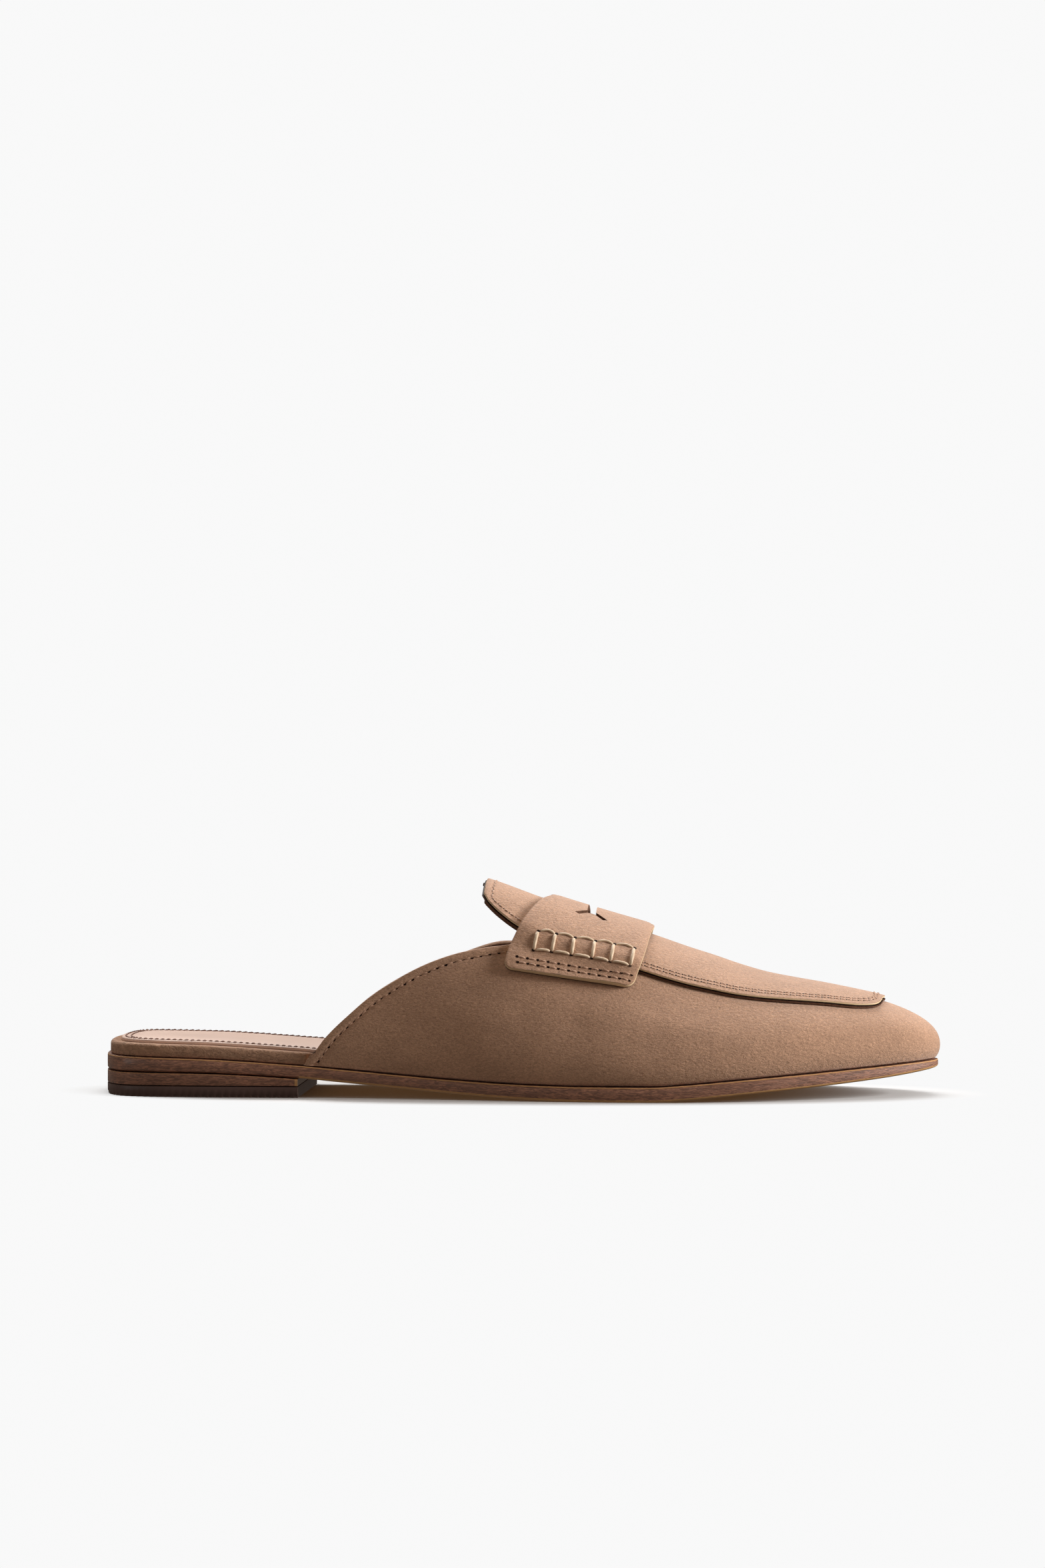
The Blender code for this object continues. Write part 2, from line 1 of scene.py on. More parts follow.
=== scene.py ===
"""Penny loafer mule in tan suede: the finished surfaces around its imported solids."""
import math
import random
from collections import namedtuple

import bmesh
import bpy
import numpy as np
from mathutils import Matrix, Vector
from mathutils.bvhtree import BVHTree
from mathutils.kdtree import KDTree


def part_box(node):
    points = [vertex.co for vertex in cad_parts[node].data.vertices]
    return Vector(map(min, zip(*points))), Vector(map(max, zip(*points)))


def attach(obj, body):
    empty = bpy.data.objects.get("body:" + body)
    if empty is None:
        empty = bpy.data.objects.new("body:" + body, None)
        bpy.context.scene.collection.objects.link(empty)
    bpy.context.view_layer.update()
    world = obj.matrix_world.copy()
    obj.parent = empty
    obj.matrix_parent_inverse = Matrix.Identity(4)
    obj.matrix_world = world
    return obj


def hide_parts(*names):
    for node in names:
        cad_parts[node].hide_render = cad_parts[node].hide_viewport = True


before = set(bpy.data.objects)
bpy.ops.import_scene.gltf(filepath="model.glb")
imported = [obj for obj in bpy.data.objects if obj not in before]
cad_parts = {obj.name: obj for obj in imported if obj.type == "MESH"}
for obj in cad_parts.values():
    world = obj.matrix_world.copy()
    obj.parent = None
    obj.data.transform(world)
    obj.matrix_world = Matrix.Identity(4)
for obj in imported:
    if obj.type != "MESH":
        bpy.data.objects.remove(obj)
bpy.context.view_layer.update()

bl_info = {
    "name": "Loafer mule",
    "version": (1, 0, 0),
    "blender": (4, 5, 0),
    "location": "View3D > Sidebar > Mule",
    "description": "Builds a suede penny-loafer mule piece by piece",
    "category": "Object",
}

# The shoe's sizes in metres, as its solids have them
SOLE_LENGTH = 0.2613
BALL_WIDTH = 0.0850
INSTEP_HEIGHT = 0.0595
HEEL_HEIGHT = 0.0078
TOE_SPRING = 0.0086
OUTSOLE_THICKNESS = 0.0042
HEEL_LENGTH = 0.0628
TOP_LIFT_THICKNESS = 0.0034
FOOTBED_THICKNESS = 0.0039
FOOTBED_MARGIN = 0.0010
INSOLE_THICKNESS = 0.0008
INSOLE_MARGIN = 0.0034
FEATHER_MARGIN = 0.0010
UPPER_WALL = 0.0018
UPPER_START = 0.0645
APRON_THICKNESS = 0.0015
TONGUE_TIP = 0.1193
LINING_THICKNESS = 0.0011
LINING_SETBACK = 0.0006
STRAP_THICKNESS = 0.0020
STRAP_BACK = 0.1392
STRAP_WIDTH = 0.0318
STRAP_SWEEP = 0.0122
STRAP_LIFT = 0.0010
STRAP_CORNER = 0.0026
SLOT_PLACE = 0.1530
SLOT_WIDTH = 0.0027
SLOT_LENGTH = 0.0290
SLOT_SLIT = 0.0014
SLOT_SPREAD = 0.0088
SLOT_FORK = 0.0046
SLOT_POINT_WIDTH = 0.0024
SLOT_POINT_BACK = 0.0022
WALL_BULGE = 0.0024
ROUND_END = 0.0300
SEAT_GAP = 0.0003
MM = 0.001
MERGE = 0.00001
THREAD_MERGE = 0.0000001
NOTCH_PITCH = 2
SOLE_COLUMNS = 220
HEEL_COLUMNS = 240
TOP_LIFT_COLUMNS = 150
BREAST_EDGE = 0.0009
MERIDIAN_POINTS = 90
MERIDIAN_PACKING = 1.6
OUTLINE_POINTS = 900

# Plan outline of the sole: shares of its length, half widths as shares of the ball width
Outline = namedtuple("Outline", "along outer inner")
SOLE_OUTLINE = (
    Outline(0.000, 0.000, 0.000),
    Outline(0.006, 0.180, 0.180),
    Outline(0.023, 0.280, 0.276),
    Outline(0.057, 0.330, 0.322),
    Outline(0.115, 0.348, 0.338),
    Outline(0.240, 0.350, 0.330),
    Outline(0.380, 0.384, 0.318),
    Outline(0.500, 0.448, 0.352),
    Outline(0.560, 0.476, 0.391),
    Outline(0.620, 0.494, 0.434),
    Outline(0.680, 0.496, 0.470),
    Outline(0.740, 0.476, 0.487),
    Outline(0.800, 0.434, 0.468),
    Outline(0.850, 0.378, 0.420),
    Outline(0.900, 0.306, 0.346),
    Outline(0.955, 0.204, 0.234),
    Outline(0.978, 0.143, 0.163),
    Outline(1.000, 0.000, 0.000),
)

# Side line of the sole: lift as shares of heel height and toe spring, and its thickness
SoleLine = namedtuple("SoleLine", "along heel toe thickness")
SOLE_LINE = (
    SoleLine(0.000, 1.000, 0.000, 1.140),
    SoleLine(0.110, 0.980, 0.000, 1.020),
    SoleLine(0.240, 0.780, 0.000, 0.930),
    SoleLine(0.287, 0.640, 0.000, 0.940),
    SoleLine(0.432, 0.230, 0.000, 0.990),
    SoleLine(0.515, 0.060, 0.000, 1.060),
    SoleLine(0.580, 0.000, 0.000, 1.100),
    SoleLine(0.660, 0.000, 0.000, 1.110),
    SoleLine(0.705, 0.000, 0.085, 1.100),
    SoleLine(0.758, 0.000, 0.235, 1.070),
    SoleLine(0.815, 0.000, 0.390, 1.030),
    SoleLine(0.870, 0.000, 0.540, 0.980),
    SoleLine(0.938, 0.000, 0.750, 0.860),
    SoleLine(1.000, 0.000, 1.000, 0.600),
)

# Last form: ridge height as a share of the instep height, sideways place of the ridge as a
# share of the ball width, roundness of the section, and how far and how soon its wall
# swells past the feather line
LastRow = namedtuple("LastRow", "along ridge offset roundness bulge tuck")
LAST_FORM = (
    LastRow(0.200, 1.370, 0.000, 1.00, 0.30, 0.080),
    LastRow(0.300, 1.270, 0.005, 1.00, 0.50, 0.080),
    LastRow(0.400, 1.165, 0.012, 1.04, 0.75, 0.080),
    LastRow(0.456, 1.102, 0.018, 1.08, 0.85, 0.080),
    LastRow(0.521, 1.000, 0.022, 1.14, 0.95, 0.080),
    LastRow(0.593, 0.897, 0.024, 1.24, 1.00, 0.080),
    LastRow(0.666, 0.790, 0.024, 1.26, 1.05, 0.080),
    LastRow(0.698, 0.741, 0.024, 1.22, 1.05, 0.080),
    LastRow(0.730, 0.696, 0.024, 1.16, 1.05, 0.078),
    LastRow(0.762, 0.648, 0.024, 1.08, 1.05, 0.074),
    LastRow(0.794, 0.608, 0.023, 1.00, 1.03, 0.070),
    LastRow(0.827, 0.580, 0.022, 0.92, 1.00, 0.064),
    LastRow(0.859, 0.556, 0.021, 0.84, 0.95, 0.056),
    LastRow(0.891, 0.529, 0.020, 0.76, 0.88, 0.048),
    LastRow(0.930, 0.494, 0.019, 0.66, 0.80, 0.040),
    LastRow(0.965, 0.462, 0.018, 0.58, 0.80, 0.034),
    LastRow(1.000, 0.430, 0.018, 0.53, 0.80, 0.030),
)
FAN_START = 0.785
FAN_POLE = 0.911

# Edges on the last, as shares of the girth from feather line to ridge
Edge = namedtuple("Edge", "along share")
COLLAR_EDGE = (
    Edge(0.247, 0.000),
    Edge(0.257, 0.039),
    Edge(0.274, 0.118),
    Edge(0.303, 0.220),
    Edge(0.329, 0.303),
    Edge(0.361, 0.384),
    Edge(0.393, 0.453),
    Edge(0.425, 0.507),
    Edge(0.465, 0.559),
    Edge(0.494, 0.598),
    Edge(0.513, 0.642),
    Edge(0.536, 0.754),
    Edge(0.550, 0.860),
    Edge(0.560, 1.000),
)
APRON_EDGE = (
    Edge(0.456, 0.830),
    Edge(0.459, 0.800),
    Edge(0.465, 0.773),
    Edge(0.476, 0.736),
    Edge(0.503, 0.679),
    Edge(0.560, 0.625),
    Edge(0.646, 0.578),
    Edge(0.718, 0.532),
    Edge(0.760, 0.518),
    Edge(0.811, 0.528),
    Edge(0.873, 0.540),
    Edge(0.903, 0.544),
    Edge(0.922, 0.562),
    Edge(0.934, 0.582),
    Edge(0.945, 0.620),
    Edge(0.962, 0.710),
    Edge(0.980, 0.790),
    Edge(1.000, 0.822),
)
STRAP_END_SHARE = 0.470
STRAP_SETTLE_START = -0.02
STRAP_SETTLE_END = 0.12

# Strap edges from its end (0) to the ridge (1), as shares of the sweep
StrapRow = namedtuple("StrapRow", "rise back front")
STRAP_EDGES = (
    StrapRow(0.00, -1.00, -0.360),
    StrapRow(0.13, -0.93, -0.260),
    StrapRow(0.29, -0.77, -0.160),
    StrapRow(0.53, -0.49, -0.080),
    StrapRow(0.75, -0.24, -0.035),
    StrapRow(0.90, -0.06, -0.008),
    StrapRow(1.00, 0.00, 0.000),
    StrapRow(1.10, -0.06, -0.008),
)

# Extra margins of footbed and insole sock: shares of the room that the upper's wall takes
Margin = namedtuple("Margin", "along footbed sock")
FOOTBED_STEP = (
    Margin(0.000, 0.0, 0.0),
    Margin(0.2500, 0.0, 0.0),
    Margin(0.2540, 1.0, 0.0),
    Margin(0.8500, 1.0, 0.0),
    Margin(1.0000, 2.0, 1.0),
)
WALL_ROOM = FEATHER_MARGIN + UPPER_WALL + SEAT_GAP - FOOTBED_MARGIN


def column(table, name):
    """One named column of a table."""
    return np.array([getattr(row, name) for row in table], dtype=float)


def smooth_line(knots, values, at, swing=False):
    """Smooth line through the knots, which may swing past them only where that is asked."""
    step = np.diff(knots)
    slope = np.diff(values) / step
    tangent = np.zeros(len(knots))
    tangent[0] = slope[0]
    tangent[-1] = slope[-1]
    for i in range(1, len(knots) - 1):
        if swing:
            tangent[i] = (slope[i - 1] * step[i] + slope[i] * step[i - 1]) / (step[i - 1] + step[i])
        elif slope[i - 1] * slope[i] > 0:
            before = 2 * step[i] + step[i - 1]
            after = step[i] + 2 * step[i - 1]
            tangent[i] = (before + after) / (before / slope[i - 1] + after / slope[i])
    at = np.clip(at, knots[0], knots[-1])
    i = np.clip(np.searchsorted(knots, at, side="right") - 1, 0, len(knots) - 2)
    t = (at - knots[i]) / step[i]
    start = (1 + 2 * t) * (1 - t) ** 2 * values[i] + t * (1 - t) ** 2 * step[i] * tangent[i]
    end = t * t * (3 - 2 * t) * values[i + 1] + t * t * (t - 1) * step[i] * tangent[i + 1]
    return start + end


def smooth_step(value):
    """Eases from 0 to 1."""
    value = np.clip(value, 0.0, 1.0)
    return value * value * (3 - 2 * value)


def read(table, name, x):
    """A column of a table at a place x along the sole."""
    return smooth_line(column(table, "along"), column(table, name), np.asarray(x) / SOLE_LENGTH)


def outsole_bottom(x):
    """Height of the outsole's underside."""
    return HEEL_HEIGHT * read(SOLE_LINE, "heel", x) + TOE_SPRING * read(SOLE_LINE, "toe", x)


def outsole_top(x):
    """Height of the outsole's upper face."""
    return outsole_bottom(x) + OUTSOLE_THICKNESS * read(SOLE_LINE, "thickness", x)


def footbed_top(x):
    """Height of the footbed's upper face."""
    return outsole_top(x) + SEAT_GAP + FOOTBED_THICKNESS


def insole_top(x):
    """Height of the insole sock's upper face."""
    return footbed_top(x) + SEAT_GAP + INSOLE_THICKNESS


def footbed_margin(x):
    """Room between the outsole's edge and the footbed's."""
    return FOOTBED_MARGIN + WALL_ROOM * read(FOOTBED_STEP, "footbed", x)


def insole_margin(x):
    """Room between the outsole's edge and the insole sock's."""
    return FOOTBED_MARGIN + INSOLE_MARGIN + WALL_ROOM * read(FOOTBED_STEP, "sock", x)


def outline(margin):
    """Outer and inner side of the plan outline, heel to toe, moved in by the margin."""
    turn = np.linspace(0.0, 1.0, OUTLINE_POINTS)
    knots = np.arccos(1 - 2 * column(SOLE_OUTLINE, "along")) / math.pi
    x = SOLE_LENGTH * (1 - np.cos(math.pi * turn)) / 2
    outer = -BALL_WIDTH * smooth_line(knots, column(SOLE_OUTLINE, "outer"), turn, swing=True)
    inner = BALL_WIDTH * smooth_line(knots, column(SOLE_OUTLINE, "inner"), turn, swing=True)
    loop_x = np.concatenate([x, x[-2:0:-1]])
    loop_y = np.concatenate([outer, inner[-2:0:-1]])
    step_x = np.roll(loop_x, -1) - np.roll(loop_x, 1)
    step_y = np.roll(loop_y, -1) - np.roll(loop_y, 1)
    size = np.hypot(step_x, step_y)
    inset = margin(loop_x) if callable(margin) else margin
    new_x = loop_x - step_y / size * inset
    new_y = loop_y + step_x / size * inset
    last = OUTLINE_POINTS - 1
    back = np.concatenate([[0], np.arange(len(loop_x) - 1, last - 1, -1)])
    return (np.column_stack([new_x[:last + 1], new_y[:last + 1]]),
            np.column_stack([new_x[back], new_y[back]]))


EDGE_LINE = outline(0.0)
FEATHER = outline(FEATHER_MARGIN)
TOE_X = FEATHER[0][-1, 0]
# The solids stand with the middle of their box over the origin
HEEL_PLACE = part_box("outsole")[0][0]
SIDE_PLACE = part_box("outsole")[0][1] - EDGE_LINE[0][:, 1].min()
PLACE = np.array([HEEL_PLACE, SIDE_PLACE, 0.0])


def ridge_place(x):
    """Where the section that starts at x on the feather line meets the ridge."""
    start = FAN_START * SOLE_LENGTH
    pole = FAN_POLE * SOLE_LENGTH
    reach = (TOE_X - start) / (pole - start)
    q = np.clip((x - start) / (TOE_X - start), 0.0, 1.0)
    return np.where(x < start, x, start + (pole - start) * (1 - (1 - q) ** reach))


def side_normal(side, x):
    """Outward direction of the feather line, in plan."""
    if x >= TOE_X:
        return np.array([1.0, 0.0])
    line = FEATHER[side]
    step = np.gradient(line, axis=0)
    step_x, step_y = (np.interp(x, line[:, 0], step[:, k]) for k in (0, 1))
    outward = -1 if side == 0 else 1
    return np.array([-outward * step_y, outward * step_x]) / np.hypot(step_x, step_y)


def path_lengths(points):
    """Length along a path up to each of its points."""
    steps = np.linalg.norm(np.diff(points, axis=0), axis=1)
    return np.concatenate([[0.0], np.cumsum(steps)])


MERIDIANS = {}


def meridian(side, x):
    """Points up one side of the last from the feather line at x, and the length to each."""
    key = (side, round(x, 7))
    if key in MERIDIANS:
        return MERIDIANS[key]
    foot = np.array([x, np.interp(x, FEATHER[side][:, 0], FEATHER[side][:, 1])])
    top_x = float(ridge_place(x))
    top = np.array([top_x, BALL_WIDTH * read(LAST_FORM, "offset", top_x)])
    base = float(outsole_top(x)) + SEAT_GAP
    turn = np.linspace(0.0, 1.0, MERIDIAN_POINTS) ** MERIDIAN_PACKING * math.pi / 2
    share = np.sin(turn) ** float(read(LAST_FORM, "roundness", x))
    plan = foot + np.outer(1 - np.cos(turn), top - foot)
    ridge = INSTEP_HEIGHT * read(LAST_FORM, "ridge", plan[:, 0])
    z = base + (ridge - base) * share
    tuck = float(read(LAST_FORM, "tuck", x)) * INSTEP_HEIGHT
    bulge = WALL_BULGE * float(read(LAST_FORM, "bulge", x))
    swell = bulge * (1 - np.exp(-(z - base) / tuck)) * np.cos(turn)
    points = np.column_stack([plan + np.outer(swell, side_normal(side, x)), z])
    MERIDIANS[key] = (points, path_lengths(points))
    return MERIDIANS[key]


def last_points(x, girths):
    """Points on the last at x: a girth of -1 is the outer feather line, 0 the ridge."""
    girths = np.atleast_1d(girths)
    found = np.empty((len(girths), 3))
    for side in (0, 1):
        chosen = girths <= 0 if side == 0 else girths > 0
        points, length = meridian(side, min(float(x), TOE_X))
        at = (1 - np.abs(girths[chosen])) * length[-1]
        for k in range(3):
            found[chosen, k] = np.interp(at, length, points[:, k])
    return found


def last_place(x, girth, rise=0.0):
    """A place on the last, its way out, and its way forward, in the frame."""
    probe = 0.4 * MM
    slip = 0.004
    here = last_points(x, [girth, girth - slip, girth + slip])
    ahead = last_points(min(x + probe, TOE_X - probe), [girth])[0]
    behind = last_points(min(x, TOE_X - probe) - probe, [girth])[0]
    forward = Vector(ahead - behind).normalized()
    out = Vector(here[1] - here[2]).cross(forward)
    if out.z < 0 and abs(girth) < 0.5 or out.y * girth < 0:
        out = -out
    out.normalize()
    return Vector(here[0] + PLACE) + out * rise, out, forward


def collar_share(x):
    """Share of the girth that the upper reaches at x."""
    return read(COLLAR_EDGE, "share", x)


def apron_share(x):
    """Share of the girth where the apron's edge runs at x."""
    return read(APRON_EDGE, "share", x)


def even_places(first, last, count):
    """Places along the feather line, evenly spaced on its curve."""
    line = FEATHER[0]
    line = line[(line[:, 0] >= first) & (line[:, 0] <= last)]
    length = path_lengths(line)
    even = np.interp(np.linspace(0, length[-1], count + 1), length, line[:, 0])
    even[0] = first
    even[-1] = last
    return even


def round_places(count, last=SOLE_LENGTH):
    """Places along the sole up to last, closer together at the round ends."""
    turn = np.linspace(0.0, math.pi, count + 1)
    places = SOLE_LENGTH * (1 - np.cos(turn)) / 2
    if last < SOLE_LENGTH:
        places = np.append(places[places < last - MM], last)
    return places


def add_sheet(bm, columns, rows):
    """Adds a grid whose points remember their column and row, and gives its points."""
    column_layer = bm.verts.layers.int.get("column") or bm.verts.layers.int.new("column")
    row_layer = bm.verts.layers.int.get("row") or bm.verts.layers.int.new("row")
    grid = bmesh.ops.create_grid(bm, x_segments=columns, y_segments=rows, size=0.5)
    for vert in grid["verts"]:
        vert[column_layer] = round((vert.co.x + 0.5) * columns)
        vert[row_layer] = round((vert.co.y + 0.5) * rows)
    return grid["verts"]


def new_sheet(columns, rows):
    """A mesh that holds one such grid."""
    bm = bmesh.new()
    add_sheet(bm, columns, rows)
    return bm


def layer(bm, name):
    """A whole-number layer of the points, by name."""
    return bm.verts.layers.int[name]


def place_grid(bm, points):
    """Puts every point of a sheet where its column and row stand in the table."""
    column_layer = layer(bm, "column")
    row_layer = layer(bm, "row")
    for vert in bm.verts:
        vert.co = points[vert[column_layer], vert[row_layer]]


def skin_points(places, low, high, rows, far=lambda x: 0.0):
    """A grid over both sides of the last between two girth shares, outer side first.

    The rows give how far up each line of the grid stands between low and high; far is the
    girth that the inner side reaches beyond the outer one.
    """
    rows = np.asarray(rows)
    count = len(places)
    points = np.empty((2 * count - 1, len(rows), 3))
    for k, x in enumerate(places):
        share = low(x) + (high(x) - low(x)) * rows
        points[k] = last_points(x, -(1 - share))
        share = low(x) + (high(x) + far(x) - low(x)) * rows
        points[2 * count - 2 - k] = last_points(x, np.maximum(1 - share, 1e-9))
    return points + PLACE


def constant(value):
    """A function that gives the same value everywhere."""
    return lambda item: value


def sheet_edges(bm):
    """For each edge point of an open sheet, the way along the sheet and inwards."""
    inward = {}
    for vert in bm.verts:
        if not vert.is_boundary:
            continue
        rim = [edge for edge in vert.link_edges if edge.is_boundary]
        ends = [edge.other_vert(vert).co for edge in rim]
        along = (ends[0] - ends[-1]).normalized()
        middle = sum((face.calc_center_median() for face in vert.link_faces), Vector())
        middle = middle / len(vert.link_faces) - vert.co
        way = vert.normal.cross(along)
        if way.dot(middle) < 0:
            way = -way
        inward[(vert[layer(bm, "column")], vert[layer(bm, "row")])] = way.normalized()
    return inward


# How a layer's edge draws in between its underside (depth 0) and its face (depth 1)
RimRow = namedtuple("RimRow", "depth draw_in slot")


def slab(bm, inner, outer, rim, inner_slot=0, flat_foot=False):
    """Makes a closed layer of a sheet, with an edge that follows the rim's rows.

    The inner and outer heights are functions of a point's column and row. A rim row's slot
    is the material between it and the next row. The flat foot keeps the feather line level.
    """
    bmesh.ops.remove_doubles(bm, verts=bm.verts, dist=MERGE)
    bmesh.ops.recalc_face_normals(bm, faces=bm.faces)
    if sum(face.normal.z * face.calc_area() for face in bm.faces) < 0:
        bmesh.ops.reverse_faces(bm, faces=bm.faces)
    bm.normal_update()
    column_layer = layer(bm, "column")
    row_layer = layer(bm, "row")
    depth_layer = bm.verts.layers.float.new("depth")
    inward = sheet_edges(bm)
    skin = {}
    for vert in bm.verts:
        skin[(vert[column_layer], vert[row_layer])] = (vert.co.copy(), vert.normal.copy())
    lower = list(bm.faces)
    grown = bmesh.ops.extrude_face_region(bm, geom=lower, use_keep_orig=True)
    upper = [item for item in grown["geom"] if isinstance(item, bmesh.types.BMFace)]
    for item in grown["geom"]:
        if isinstance(item, bmesh.types.BMVert):
            item[depth_layer] = 1.0
    for face in lower:
        face.material_index = inner_slot
    sides = set(bm.faces) - set(lower) - set(upper)
    steps = len(rim) - 1
    across = {edge for face in sides for edge in face.edges
              if abs(edge.verts[0][depth_layer] - edge.verts[1][depth_layer]) > 0.5}
    if steps > 1:
        bmesh.ops.subdivide_edges(bm, edges=list(across), cuts=steps - 1, use_grid_fill=True)
    bmesh.ops.recalc_face_normals(bm, faces=bm.faces)
    for vert in bm.verts:
        key = (vert[column_layer], vert[row_layer])
        co, normal = skin[key]
        low = inner(*key)
        high = outer(*key)
        draw = Vector()
        depth = vert[depth_layer]
        if key in inward:
            row = rim[round(depth * steps)]
            depth = row.depth
            draw = inward[key] * row.draw_in
        vert.co = co + normal * (low + (high - low) * depth) + draw
        if flat_foot and key in inward and key[1] == 0:
            vert.co.z = max(vert.co.z, co.z) if depth > 0.5 else co.z
    known = set(lower) | set(upper)
    for face in bm.faces:
        if face not in known:
            band = min(round(vert[depth_layer] * steps) for vert in face.verts)
            face.material_index = rim[min(band, steps)].slot
    return bm


def plate(places, rings, slots, notch=0.0):
    """A closed plate that follows the sole: rings of (margin, height) from bottom to top.

    The slots are the materials of the bottom, of each band between two rings, and the top.
    """
    bm = new_sheet(len(places) - 1, 1)
    column_layer = layer(bm, "column")
    row_layer = layer(bm, "row")

    def put(verts, margin, height, notched):
        sides = outline(margin)
        heel = max(side[0, 0] for side in sides)
        toe = min(side[-1, 0] for side in sides)
        for vert in verts:
            x = np.interp(places[vert[column_layer]],
                          (0.0, ROUND_END, SOLE_LENGTH - ROUND_END, SOLE_LENGTH),
                          (heel, ROUND_END, SOLE_LENGTH - ROUND_END, toe))
            line = sides[vert[row_layer]]
            y = np.interp(x, line[:, 0], line[:, 1])
            if notched and vert[column_layer] % (2 * NOTCH_PITCH) < NOTCH_PITCH:
                y -= math.copysign(min(notch, abs(y)), y)
            vert.co = PLACE + (x, y, float(height(x)))

    put(bm.verts, *rings[0], notch > 0)
    top = list(bm.faces)
    for face in top:
        face.material_index = slots[0]
    for level, ring in enumerate(rings[1:]):
        before = set(bm.faces)
        grown = bmesh.ops.extrude_face_region(bm, geom=top, use_keep_orig=True)
        if level > 0:
            bmesh.ops.delete(bm, geom=top, context="FACES")
        top = [item for item in grown["geom"] if isinstance(item, bmesh.types.BMFace)]
        verts = [item for item in grown["geom"] if isinstance(item, bmesh.types.BMVert)]
        put(verts, *ring, notch > 0 and level < 1)
        for face in bm.faces:
            if face not in before:
                face.material_index = slots[level + 1]
    for face in top:
        face.material_index = slots[-1]
    bmesh.ops.remove_doubles(bm, verts=bm.verts, dist=MERGE)
    bmesh.ops.recalc_face_normals(bm, faces=bm.faces)
    return bm


def finish_piece(name, bm, materials, replaced=(), sharp=35):
    """Makes the named object of a mesh, gives it its materials and rides it on the shoe."""
    if not bm.faces:
        raise RuntimeError(name + " came out without faces")
    mesh = bpy.data.meshes.new(name)
    bm.to_mesh(mesh)
    bm.free()
    mesh.shade_smooth()
    mesh.set_sharp_from_angle(angle=math.radians(sharp))
    for material in materials:
        mesh.materials.append(material)
    piece = bpy.data.objects.new(name, mesh)
    bpy.context.scene.collection.objects.link(piece)
    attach(piece, "root")
    if replaced:
        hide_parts(*replaced)
    return piece


def linear(red, green, blue):
    """A display colour (0 to 255) as the shader's linear colour."""
    def one(value):
        value = value / 255
        return value / 12.92 if value <= 0.04045 else ((value + 0.055) / 1.055) ** 2.4
    return (one(red), one(green), one(blue))


class MULE_PG_sizes(bpy.types.PropertyGroup):
    """Sizes of the finish that a user may change."""
    collar_fold: bpy.props.FloatProperty(
        name="Collar fold", description="Width of the folded collar edge", default=0.0026,
        unit="LENGTH")
    collar_pitch: bpy.props.FloatProperty(
        name="Collar pitch", description="Distance between two holes along the collar",
        default=0.0028, unit="LENGTH")
    seam_pitch: bpy.props.FloatProperty(
        name="Seam pitch", description="Distance between two stitches on the apron",
        default=0.0020, unit="LENGTH")
    sock_pitch: bpy.props.FloatProperty(
        name="Sock pitch", description="Distance between two stitches on the insole sock",
        default=0.0019, unit="LENGTH")
    thread: bpy.props.FloatProperty(
        name="Thread", description="Thickness of the fine thread", default=0.00042,
        unit="LENGTH")
    cord: bpy.props.FloatProperty(
        name="Cord", description="Thickness of the cord laced on the strap", default=0.00095,
        unit="LENGTH")
    lift_notch: bpy.props.FloatProperty(
        name="Lift notch", description="Depth of the notches round the top lift",
        default=0.00035, unit="LENGTH")


class MULE_PG_colours(bpy.types.PropertyGroup):
    """Colours of the finish that a user may change."""
    suede: bpy.props.FloatVectorProperty(
        name="Suede", description="Suede of upper, apron, strap and footbed", subtype="COLOR",
        size=3, min=0.0, max=1.0, default=linear(196, 154, 125))
    lining: bpy.props.FloatVectorProperty(
        name="Lining", description="Lining leather", subtype="COLOR", size=3, min=0.0,
        max=1.0, default=linear(92, 62, 50))
    edge_paint: bpy.props.FloatVectorProperty(
        name="Edge paint", description="Painted edge of the strap", subtype="COLOR", size=3,
        min=0.0, max=1.0, default=linear(232, 206, 164))
    cord: bpy.props.FloatVectorProperty(
        name="Cord", description="Cord laced on the strap", subtype="COLOR", size=3, min=0.0,
        max=1.0, default=linear(224, 197, 164))
    sock: bpy.props.FloatVectorProperty(
        name="Sock", description="Leather of the insole sock", subtype="COLOR", size=3,
        min=0.0, max=1.0, default=linear(230, 198, 180))
    sole_edge: bpy.props.FloatVectorProperty(
        name="Sole edge", description="Stained edge of outsole and heel", subtype="COLOR",
        size=3, min=0.0, max=1.0, default=linear(116, 80, 62))
    sole_leather: bpy.props.FloatVectorProperty(
        name="Sole leather", description="Unstained leather of the outsole", subtype="COLOR",
        size=3, min=0.0, max=1.0, default=linear(214, 164, 108))
    top_lift: bpy.props.FloatVectorProperty(
        name="Top lift", description="Rubber of the top lift", subtype="COLOR", size=3,
        min=0.0, max=1.0, default=linear(84, 63, 57))


def sizes():
    """The sizes that the scene holds."""
    return bpy.context.scene.mule_sizes


def colours():
    """The colours that the scene holds."""
    return bpy.context.scene.mule_colours


def add_node(tree, kind, **values):
    """A node of a kind; a value goes to the socket or to the setting that it names."""
    node = tree.nodes.new(kind)
    for name, value in values.items():
        if name in node.bl_rna.properties:
            setattr(node, name, value)
        else:
            node.inputs[name.replace("_", " ")].default_value = value
    return node


def new_group(name, inputs, outputs):
    """A shader node group with named sockets: (kind, name, value) for each input."""
    group = bpy.data.node_groups.get(name)
    if group:
        return group, None, None
    group = bpy.data.node_groups.new(name, "ShaderNodeTree")
    for kind, title, value in inputs:
        socket = group.interface.new_socket(title, in_out="INPUT", socket_type=kind)
        socket.default_value = value
    for kind, title in outputs:
        group.interface.new_socket(title, in_out="OUTPUT", socket_type=kind)
    entry = group.nodes.new("NodeGroupInput")
    result = group.nodes.new("NodeGroupOutput")
    return group, entry, result


COLOUR = "NodeSocketColor"
NUMBER = "NodeSocketFloat"


